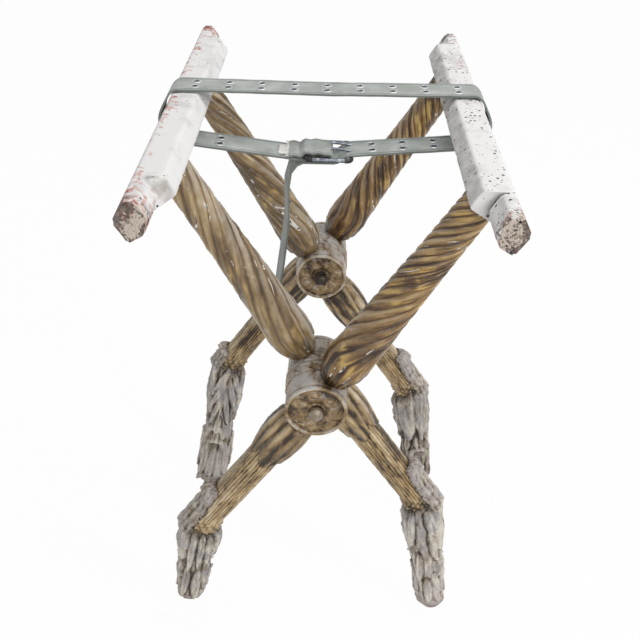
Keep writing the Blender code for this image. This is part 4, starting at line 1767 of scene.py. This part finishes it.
@dataclass
class HubPin:
    """Iron pin through a hub: a domed head outside, a washer and a square nut inside."""

    end: End
    radius: float = 0.005
    bore_fit: float = 0.0001
    tip_length: float = 0.0012
    tail: float = 0.0015
    head_radius: float = 0.0076
    head_side: float = 0.0030
    head_rise: float = 0.0075
    washer_radius: float = 0.009
    washer_thickness: float = 0.0012
    washer_edge: float = 0.0003
    nut_side: float = 0.013
    nut_thickness: float = 0.0055
    nut_inset: float = 0.0012
    nut_bevel: float = 0.0007

    @property
    def outer(self) -> float:
        """Distance of the head's seat from the stool's middle."""
        return STANCE.inner_layer + 1.5 * STANCE.hub_width + 2 * STANCE.gap

    @property
    def inner(self) -> float:
        """Distance of the washer's seat from the stool's middle."""
        return STANCE.inner_layer - 0.5 * STANCE.hub_width - STANCE.gap

    @property
    def nut_face(self) -> float:
        """Distance of the nut's seat from the stool's middle."""
        return self.inner - self.washer_thickness - STANCE.gap

    def pin(self) -> Blank:
        """The pin with its domed head, about the head's seat.

        Returns:
            The turned pin.
        """
        line = [(self.radius, 0.0), (self.head_radius, 0.0)]
        for angle in spread(0.0, QUARTER, 10):
            height = self.head_side + (self.head_rise - self.head_side) * math.sin(angle)
            line.append((self.head_radius * math.cos(angle), height))
        low = self.nut_face - self.nut_thickness - self.tail - self.outer
        tip = [(0.0, low), (0.8 * self.radius, low), (self.radius, low + self.tip_length)]
        return Blank.turned(tip + line, 32)

    def washer(self) -> Blank:
        """The washer, under its seat.

        Returns:
            The turned washer.
        """
        bore, thick = self.radius + self.bore_fit, self.washer_thickness
        edge, rim = self.washer_radius - self.washer_edge, self.washer_radius
        ring = [(bore, -thick), (edge, -thick), (rim, -0.7 * thick)]
        return Blank.turned(ring + [(rim, -0.3 * thick), (edge, 0.0), (bore, 0.0)], 36, closed=True)

    def nut(self) -> Blank:
        """The square nut, about its middle.

        Returns:
            The bevelled nut.
        """
        nut = Blank()
        sides = Matrix.Diagonal((self.nut_side, self.nut_side, self.nut_thickness, 1.0))
        bmesh.ops.create_cube(nut.bm, size=1.0, matrix=sides)
        low, *_, high = sorted(nut.bm.faces, key=lambda face: face.calc_center_median().z)
        for face in (low, high):
            bmesh.ops.inset_region(nut.bm, faces=[face], thickness=self.nut_inset)
        rounded = {"segments": 2, "affect": "EDGES", "profile": 0.5, "material": -1}
        bmesh.ops.bevel(nut.bm, geom=nut.bm.edges[:], offset=self.nut_bevel, **rounded)
        return nut

    def build(self) -> None:
        """Models the pin, washer and nut and sets them on the pivots."""
        turn = Matrix.Rotation(-self.end.value * QUARTER, 4, "X")
        hub = Matrix.Translation((0, 0, STANCE.hub_height)) @ turn
        head_iron = PALE_IRON if self.end is End.NEAR else OLD_IRON
        made = (
            ("pin", self.pin, self.outer, head_iron),
            ("washer", self.washer, self.inner, OLD_IRON),
            ("nut", self.nut, self.nut_face - self.nut_thickness / 2, OLD_IRON),
        )
        for name, shape, place, iron in made:
            blank = shape().moved(hub @ Matrix.Translation((0, 0, place)))
            piece = blank.finished(f"iron_{name}_{self.end.word}", iron)
            dress(piece, "pivots", "old_iron", f"{name}_{self.end.word}")


class Route:
    """Points along the middle of a stretch of belt."""

    def __init__(self, points: Sequence[Vector]) -> None:
        """Measures the stretch.

        Args:
            points: Points in order.
        """
        self.points = list(points)
        self.marks = [0.0]
        for a, b in zip(self.points, self.points[1:]):
            self.marks.append(self.marks[-1] + (b - a).length)

    @property
    def length(self) -> float:
        """Length of the stretch."""
        return self.marks[-1]

    def at(self, along: float) -> tuple[Vector, Vector]:
        """Point and direction at a distance along the stretch.

        Args:
            along: Distance from the start.

        Returns:
            The point and the unit direction.
        """
        i = min(max(bisect.bisect_right(self.marks, along) - 1, 0), len(self.points) - 2)
        a, b = self.points[i], self.points[i + 1]
        share = (along - self.marks[i]) / (self.marks[i + 1] - self.marks[i])
        return a.lerp(b, share), (b - a).normalized()

    def smoothed(self, along: float, reach: float = 0.0012) -> tuple[Vector, Vector]:
        """Point and direction, the direction eased over the corners.

        Args:
            along: Distance from the start.
            reach: How far to both sides it is eased.

        Returns:
            The point and the unit direction.
        """
        before, _ = self.at(max(0.0, along - reach))
        after, _ = self.at(min(self.length, along + reach))
        return self.at(along)[0], (after - before).normalized()


@dataclass
class WebBelt:
    """Eyeleted web belt round both rails, sewn to its buckle at one end and hanging at the other."""

    rail: TopRail
    width: float = 0.038
    thickness: float = 0.0020
    ply_gap: float = 0.0006
    upper_y: float = 0.020
    lower_y: float = -0.018
    sag: float = 0.012
    bar_x: float = 0.004
    reach_right: float = 0.0235
    reach_left: float = 0.0230
    wire: float = 0.0020
    fold: float = 0.042
    ease: float = 0.0112
    drift: float = 0.009
    pitch: float = 0.0347
    pair: float = 0.0150
    hole: float = 0.0030
    hole_depth: float = 0.0024
    eyelet_roll: Pairs = (
        (0.0, 0.0),
        (0.0005, 0.0007),
        (0.0018, 0.0006),
        (0.0025, 0.0001),
    )
    upper_eyelets: tuple[range, range] = (range(1, 5), range(0, 5))
    left_eyelets: tuple[float, ...] = (-0.110,)
    right_eyelets: tuple[float, ...] = (0.049, 0.0815, 0.114)
    pleat: float = 0.0125
    pleat_depth: float = 0.0016
    ripple: float = 0.0003
    weave_step: float = 0.003
    weave_shift: float = 0.31
    twist: float = math.radians(-9.0)
    twist_start: float = 0.185
    twist_end: float = 0.120
    blend_start: float = 0.140
    blend_end: float = 0.032
    yarn_seed: int = 1
    yarns: int = 46
    yarn_radius: float = 0.00028
    tail: Pairs = (
        (0.0265, 0.0),
        (0.033, 0.003),
        (0.0400, 0.012),
        (0.0440, 0.032),
        (0.0435, 0.075),
        (0.0485, 0.120),
        (0.0540, 0.165),
    )

    @property
    def offset(self) -> float:
        """Distance of the belt's middle from what it lies on."""
        return STANCE.gap + self.thickness / 2

    @property
    def bar_offset(self) -> float:
        """Distance of the belt's middle from a buckle bar's axis."""
        return self.wire + self.offset

    def corner(self, x: float, height: float) -> Vector:
        """A corner of the right rail's section.

        Args:
            x: Its place across the upright rail.
            height: Its height over the rail's underside.

        Returns:
            The stool's X and Z.
        """
        reach = STANCE.arm_reach + height
        across, up = math.sin(STANCE.lean), math.cos(STANCE.lean)
        return Vector((x * up + reach * across, STANCE.hub_height + reach * up - x * across))

    @property
    def low_corner(self) -> Vector:
        """X and Z of the right rail's lower outer corner."""
        return self.corner(self.rail.outer, 0.0)

    @property
    def bar(self) -> Vector:
        """X and Z of the buckle's cross bar."""
        return Vector((self.bar_x, self.low_corner.y - self.offset - self.sag))

    def arc(self, middle: Vector, start: float, end: float, radius: float) -> list[Vector]:
        """Points of an arc, its angles measured from +X towards +Z."""
        return [middle + radius * Vector((math.cos(a), math.sin(a))) for a in spread(start, end, 13)]

    def bend(self, corner: Vector, start: float, end: float) -> list[Vector]:
        """Points of the belt round a corner, rounder than the corner by its ease.

        Args:
            corner: The corner in X and Z.
            start: Angle of the normal before it.
            end: Angle of the normal after it.

        Returns:
            Points of the arc.
        """
        ease = self.ease
        before, after = (Vector((math.cos(a), math.sin(a))) for a in (start, end))
        between = before + after
        middle = corner - between * (ease / (1 + before.dot(after))) + between.normalized() * 0.16 * ease
        return self.arc(middle, start, end, ease + self.offset)

    def over_rail(self, onward: Vector) -> list[Vector]:
        """The belt over the right rail, from the middle of the upper run to the lower outer corner.

        Args:
            onward: Direction in which it leaves the rail.

        Returns:
            Points in X and Z, bending over the ridge, the roof's outer edge and under the rail.
        """
        lean, rail = STANCE.lean, self.rail
        ridge = self.corner(rail.ridge_x, rail.ridge)
        eave = self.corner(rail.outer, rail.slope(rail.outer))
        roof = QUARTER - 2 * lean
        leave = math.atan2(onward.x, -onward.y)
        leave -= math.tau if leave > 0 else 0.0
        points = [Vector((0.0, ridge.y + self.offset))]
        points += self.bend(ridge, QUARTER, roof) + self.bend(eave, roof, -lean)
        return points + self.arc(self.low_corner, -lean, leave, self.offset)

    def placed(self, points: Sequence[Vector], side: int) -> list[Vector]:
        """Sets points over a rail in the stool, the belt stepping forward as it rounds the rail.

        Args:
            points: Points in X and Z for the right rail.
            side: 1 for the right rail, -1 for the left.

        Returns:
            The points.
        """
        steps = [(b - a).length for a, b in zip(points[1:], points[2:])]
        made = [Vector((0.0, self.upper_y + self.drift / 2, points[0].y))]
        gone = 0.0
        aside = self.drift if side > 0 else 0.0
        for point, step in zip(points[1:], [0.0] + steps):
            gone += step
            forward = smooth(0.0, 0.9, gone / sum(steps))
            y = self.upper_y + aside + (self.lower_y - self.upper_y) * forward
            made.append(Vector((side * point.x, y, point.y)))
        return made

    def level(self, points: Sequence[Vector]) -> list[Vector]:
        """Sets X and Z points at the lower run's depth."""
        return [Vector((p.x, self.lower_y, p.y)) for p in points]

    def left_route(self) -> Route:
        """The left half of the belt.

        Returns:
            Sewn end, fold round the bar, lower left run, left rail and half of the upper run.
        """
        clear = self.reach_left + self.bar_offset
        start = self.bar - Vector((clear, self.bar_offset))
        low = Vector((-self.low_corner.x, self.low_corner.y - self.offset))
        away = (low - start).normalized()
        layer = Vector((0, self.thickness + self.ply_gap))
        lower = [start + away * reach + layer for reach in (self.fold - clear, self.bar_offset)]
        lower.append(self.bar + Vector((-self.reach_left - self.offset, self.bar_offset)))
        lower += self.arc(self.bar, QUARTER, -QUARTER, self.bar_offset) + [start]
        over = self.placed(self.over_rail(Vector((away.x, -away.y))), -1)
        return Route(self.level(lower) + over[::-1])

    def right_route(self) -> Route:
        """The right half of the belt.

        Returns:
            Other half of the upper run, right rail, lower right run, buckle and hanging tail.
        """
        bar, reach, rise = self.bar, self.reach_right, self.bar_offset
        toe = bar + Vector((reach, 0.0))
        under = rise + self.thickness + self.ply_gap
        over = self.placed(self.over_rail((toe - self.low_corner).normalized()), 1)
        onto = ((0.002, rise), (-0.2 * reach, 0.55 * rise), (-0.4 * reach, -0.5 * rise))
        below = ((0.42 * reach, -0.80 * under), (0.22 * reach, -under))
        back = [toe + Vector(step) for step in onto] + [bar + Vector(step) for step in below]
        back += [bar + Vector((-x, -under - drop)) for x, drop in self.tail]
        return Route(over + self.level(back))

    def strip(self, name: str, route: Route, shift: float, twist: float) -> Piece:
        """Weaves a stretch of belt along a route.

        Args:
            name: Name of the piece.
            route: Where it goes.
            shift: Start of its weave along the belt.
            twist: How far its far end is turned about its own length.

        Returns:
            The piece.
        """
        length, half = route.length, self.width / 2
        evenly = spread(0.0, length, int(length / self.weave_step))
        close = [mark for mark in route.marks[1:-1] if min(abs(mark - other) for other in evenly) > 0.0004]
        sewn = route.points[0].z < self.bar.y + self.width

        def lay(co: Vector) -> Carved:
            """Lays one point of the flat strip along the route.

            Args:
                co: Point of a unit cylinder, squared to the belt's section, its height the way along.

            Returns:
                The point on the belt.
            """
            scale = math.hypot(co.x, co.y) / max(abs(co.x), abs(co.y), 1e-9)
            a, b = co.x * scale, co.y * scale
            point, way = route.smoothed(co.z)
            turn = twist * smooth(length - self.twist_start, length - self.twist_end, co.z)
            aside = Matrix.Rotation(turn, 3, way) @ Vector((0, 1, 0))
            normal = way.cross(aside).normalized()
            ripple = self.ripple * noise.noise(Vector((60 * co.z, 25 * a, shift)))
            if sewn:
                pleat = abs(math.sin(math.pi * co.z / self.pleat + 0.5 * a))
                pleat *= smooth(self.fold, 0.8 * self.fold, co.z)
                ripple += self.pleat_depth * pleat * smooth(0.0, 0.1 * self.fold, co.z)
            place = point + aside * (a * half) + normal * (b * self.thickness / 2 + ripple)
            return Carved(place, 1.0, co.z / length, Vector((a * half, co.z + shift, b)))

        return Blank.sleeve(sorted(evenly + close), 48).carve(lay).finished(name, CANVAS, 60.0)

    def eyelets(self, name: str, route: Route, places: Sequence[float]) -> list[Piece]:
        """Pairs of rolled eyelets, with dark discs of painted shade in their holes.

        Args:
            name: Name of the pieces.
            route: The stretch of belt.
            places: Distances along it.

        Returns:
            The rings and the dark discs of painted shade.
        """
        top = [(self.hole + out, self.thickness / 2 + rise) for out, rise in self.eyelet_roll]
        under = [(radius, -z) for radius, z in reversed(top[1:])]
        ring = [(self.hole, -self.thickness / 2)] + top + under
        disc = {"cap_ends": True, "segments": 12, "radius1": self.hole, "radius2": self.hole}
        rings, holes = Blank(), Blank()
        for along in places:
            point, way = route.at(along)
            aside = Vector((0, 1, 0))
            axes = Matrix((way, aside, way.cross(aside))).transposed().to_4x4()
            for across in (-self.pair / 2, self.pair / 2):
                place = Matrix.Translation(point + Vector((0, across, 0))) @ axes
                rings.join(Blank.turned(ring, 16, closed=True).moved(place))
                bmesh.ops.create_cone(holes.bm, depth=self.hole_depth, matrix=place, **disc)
        made = ((rings, "rings", EYELET_METAL), (holes, "holes", HOLE_SHADE))
        return [blank.finished(f"{name}_{word}", finish) for blank, word, finish in made]

    def frayed_end(self, route: Route) -> Piece:
        """Loose pale yarns and a torn strip of lining at the sewn end.

        Args:
            route: The left stretch, whose start is the sewn end.

        Returns:
            The piece.
        """
        start, way = route.at(0.0)

        def lining(co: Vector) -> Carved:
            """One point of the torn lining strip.

            Args:
                co: Point of a unit sheet: across in X, out in Y.

            Returns:
                The point on the lining.
            """
            across = (co.x - 0.5) * 0.62 * self.width
            torn = 0.0105 + 0.002 * noise.noise(Vector((220 * across, 3.0, 0)))
            lift = 0.0006 - 0.0012 * co.y + 0.0004 * co.z
            return Carved(start - way * torn * co.y + Vector((0, across - 0.002, lift)))

        blank = Blank.cloth(10, 8).carve(lining)
        bmesh.ops.solidify(blank.bm, geom=blank.bm.faces[:], thickness=0.0005)
        noise.seed_set(self.yarn_seed)
        for i in range(self.yarns):
            across = (i / (self.yarns - 1) - 0.5) * self.width
            sway = noise.noise_vector(Vector((3.7 * i, 1.3, 0.0)))
            root = start + Vector((0, across, 0.0))
            tip = root - way * (0.0026 + 0.0022 * abs(sway.x))
            tip += Vector((0, 0.0016 * sway.y, 0.0016 * sway.z))
            middle = root.lerp(tip, 0.5) + Vector((0, 0, 0.0003))
            blank.join(Blank.tube([root + way * 0.001, middle, tip], self.yarn_radius, 5))
        return blank.finished("frayed_end", PALE_YARN)

    def crossing(self, route: Route, x: float) -> float:
        """Finds where the lower run passes an X.

        Args:
            route: The stretch of belt.
            x: The X to pass.

        Returns:
            The distance along the stretch.
        """
        spots = [(along, route.at(along)[0]) for along in spread(0.0, route.length, 1200)]
        floor, roof = self.bar.y - 0.004, self.corner(self.rail.outer, 0.004).y
        lower = [(abs(point.x - x), along) for along, point in spots if floor < point.z < roof]
        return min(lower)[1]

    def build(self) -> None:
        """Models the belt in two halves, with eyelets, and leaves each half where it is modelled."""
        left, right = self.left_route(), self.right_route()
        upper_left, upper_right = self.upper_eyelets
        on_left = [left.length - k * self.pitch for k in upper_left]
        on_left += [self.crossing(left, x) for x in self.left_eyelets]
        on_right = [k * self.pitch for k in upper_right]
        on_right += [self.crossing(right, x) for x in self.right_eyelets]
        halves = (
            (Side.LEFT, left, on_left, 0.0, 0.0),
            (Side.RIGHT, right, on_right, self.weave_shift, self.twist),
        )
        high = self.corner(self.rail.ridge_x, self.rail.ridge).y
        for side, route, eyelets, shift, twist in halves:
            strip = self.strip(f"web_belt_{side.word}", route, shift, twist)
            trims = self.eyelets(f"belt_eyelets_{side.word}", route, eyelets)
            if side is Side.LEFT:
                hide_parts("strap")
            for piece in (strip, *trims):
                side.body
                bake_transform(piece)
            f"gesso_rail_{side.word}"
        dress(self.frayed_end(left), "pivots", "web_canvas")


@dataclass
class Buckle:
    """Double-prong steel buckle: a wire frame, its cross bar and two prongs."""

    belt: WebBelt
    wire: float = 0.0021
    prong: float = 0.0015
    side_gap: float = 0.0030
    corner: float = 0.0040
    prong_spread: float = 0.0155
    prong_start: float = 0.0030
    prong_short: float = 0.0020
    prong_rise: float = 0.0062
    prong_fall: float = 0.0022
    sleeve_wall: float = 0.0005
    sleeve_path: Pairs = (
        (0.0, 0.0065),
        (0.0, 0.0040),
        (0.0012, 0.0012),
        (0.0040, 0.0),
        (0.0065, 0.0),
    )

    @property
    def half(self) -> float:
        """Half the frame's width, to the middle of its wire."""
        return self.belt.width / 2 + self.side_gap + self.belt.wire

    def loop(self) -> list[Vector]:
        """Middle line of the wire frame.

        Returns:
            Its points in order.
        """
        bar, y, inset = self.belt.bar, self.belt.lower_y, self.half - self.corner
        points = []
        for turn, (across, along) in enumerate(((1, 1), (-1, 1), (-1, -1), (1, -1))):
            reach = self.belt.reach_right if across > 0 else self.belt.reach_left
            middle = Vector((bar.x + across * (reach - self.corner), y + along * inset, bar.y))
            for angle in spread(QUARTER * turn, QUARTER * (turn + 1), 7):
                points.append(middle + self.corner * Vector((math.cos(angle), math.sin(angle), 0)))
        return points

    def fit(self, name: str, path: Sequence[Vector], radius: float, sides: int, finish: Finish) -> None:
        """Sweeps an open wire and sets it on the pivots."""
        dress(Blank.tube(path, radius, sides).finished(name, finish), "pivots", "blued_steel")

    def build(self) -> None:
        """Models the buckle and sets it on the pivots."""
        belt, bar, y = self.belt, self.belt.bar, self.belt.lower_y
        frame_piece = Blank.tube(self.loop(), self.wire, 12, closed=True).finished("buckle", STEEL)
        dress(frame_piece, "pivots", "blued_steel", "buckle_frame")
        ends = [Vector((bar.x, y + side * self.half, bar.y)) for side in (-1, 1)]
        cross = [ends[0], ends[0].lerp(ends[1], 0.5), ends[1]]
        self.fit("buckle_cross_bar", cross, self.wire, 12, STEEL)
        for word, side in (("front", -1), ("back", 1)):
            line = []
            for share in spread(0.0, 1.0, 9):
                x = bar.x + self.prong_start + (belt.reach_right - self.prong_short) * share
                rise = self.prong_rise - self.prong_fall * share**2
                line.append(Vector((x, y + side * self.prong_spread / 2, bar.y + rise)))
            self.fit(f"buckle_prong_{word}", line, self.prong, 10, STEEL)
        low = y - self.half
        for word, x, inward in (("left", -belt.reach_left, 1), ("right", belt.reach_right, -1)):
            out = bar.x + x
            path = [Vector((out + inward * reach, low + drop, bar.y)) for reach, drop in self.sleeve_path]
            self.fit(f"buckle_sleeve_{word}", path, self.wire + self.sleeve_wall, 12, BLACKED)


class Lamp(NamedTuple):
    """A soft square lamp: where it hangs, its width in metres and its power in watts."""

    name: str
    spot: tuple[float, float, float]
    size: float
    power: float


@dataclass
class Studio:
    """White floor, soft light and the camera."""

    eye: tuple[float, float, float] = (0.0024, -0.846, 0.97606)
    pitch: float = math.radians(34.78)
    yaw: float = math.radians(-0.12)
    roll: float = math.radians(1.88)
    focal: float = 838.6
    frame_pixels: float = 640.0
    sensor: float = 36.0
    clip_start: float = 0.05
    floor_size: float = 30.0
    sky_light: float = 0.38
    lamp_aim: tuple[float, float, float] = (0.0, 0.0, 0.35)
    lamps: tuple[Lamp, ...] = (
        Lamp("overhead", (0.5, 0.3, 2.3), 1.5, 16.0),
        Lamp("window", (1.6, -1.1, 1.8), 0.5, 14.0),
        Lamp("front", (0.2, -2.3, 1.3), 1.4, 14.0),
    )

    def camera(self) -> None:
        """Sets the camera as it stands in the photograph."""
        data = bpy.data.cameras.new("camera")
        data.sensor_width = self.sensor
        data.lens = self.focal * self.sensor / self.frame_pixels
        data.clip_start = self.clip_start
        camera = bpy.data.objects.new("camera", data)
        turn = Matrix.Rotation(-self.yaw, 3, "Z")
        tilt = Matrix.Rotation(QUARTER - self.pitch, 3, "X")
        bank = Matrix.Rotation(self.roll, 3, "Z")
        camera.matrix_world = Matrix.Translation(self.eye) @ (turn @ tilt @ bank).to_4x4()
        bpy.context.scene.collection.objects.link(camera)
        bpy.context.scene.camera = camera

    def floor(self) -> None:
        """Lays the pale floor, which keeps a soft shadow."""
        blank = Blank.cloth(1, 1).moved(Matrix.Translation((-0.5, -0.5, 0)))
        blank.moved(Matrix.Diagonal((self.floor_size, self.floor_size, 1.0, 1.0)))
        blank.finished("studio_floor", StudioWhite())

    def sky(self) -> None:
        """White surroundings, softer as light than they look."""
        world = bpy.data.worlds.new("studio")
        bpy.context.scene.world = world
        world.use_nodes = True
        g = Graph(world.node_tree)
        back = g.tree.nodes["Background"].inputs
        level = g.node("MapRange", Value=g.seen_white(), To_Min=self.sky_light, To_Max=1.0)
        g.put(back["Color"], (1.0, 1.0, 1.0))
        g.put(back["Strength"], level.outputs["Result"])

    def hang(self, lamp: Lamp) -> None:
        """Hangs a lamp that faces the stool.

        Args:
            lamp: The lamp.
        """
        data = bpy.data.lights.new(lamp.name, "AREA")
        data.size = lamp.size
        data.energy = lamp.power
        light = bpy.data.objects.new(lamp.name, data)
        light.location = lamp.spot
        light.rotation_mode = "QUATERNION"
        light.rotation_quaternion = (Vector(self.lamp_aim) - Vector(lamp.spot)).to_track_quat("-Z", "Y")
        bpy.context.scene.collection.objects.link(light)

    def build(self) -> None:
        """Sets up the studio."""
        self.camera()
        self.floor()
        self.sky()
        for lamp in self.lamps:
            self.hang(lamp)
        bpy.context.scene.view_settings.view_transform = "Standard"


def main() -> None:
    """Builds the studio, both frames, the pivots and the belt."""
    logging.basicConfig(level=logging.INFO, format="%(name)s: %(message)s")
    for piece in list(bpy.data.objects):
        if piece.type in {"CAMERA", "LIGHT"} or piece.name == "Cube":
            bpy.data.objects.remove(piece)
    Studio().build()
    for side in Side:
        TopRail(side).build()
        for end in End:
            for kind in (SpiralArm, HubKnuckle, ReededStem, LeafFoot):
                kind(side, end).build()
    for end in End:
        HubPin(end).build()
    belt = WebBelt(TopRail(Side.RIGHT))
    Buckle(belt).build()
    belt.build()


if __name__ == "__main__":
    main()
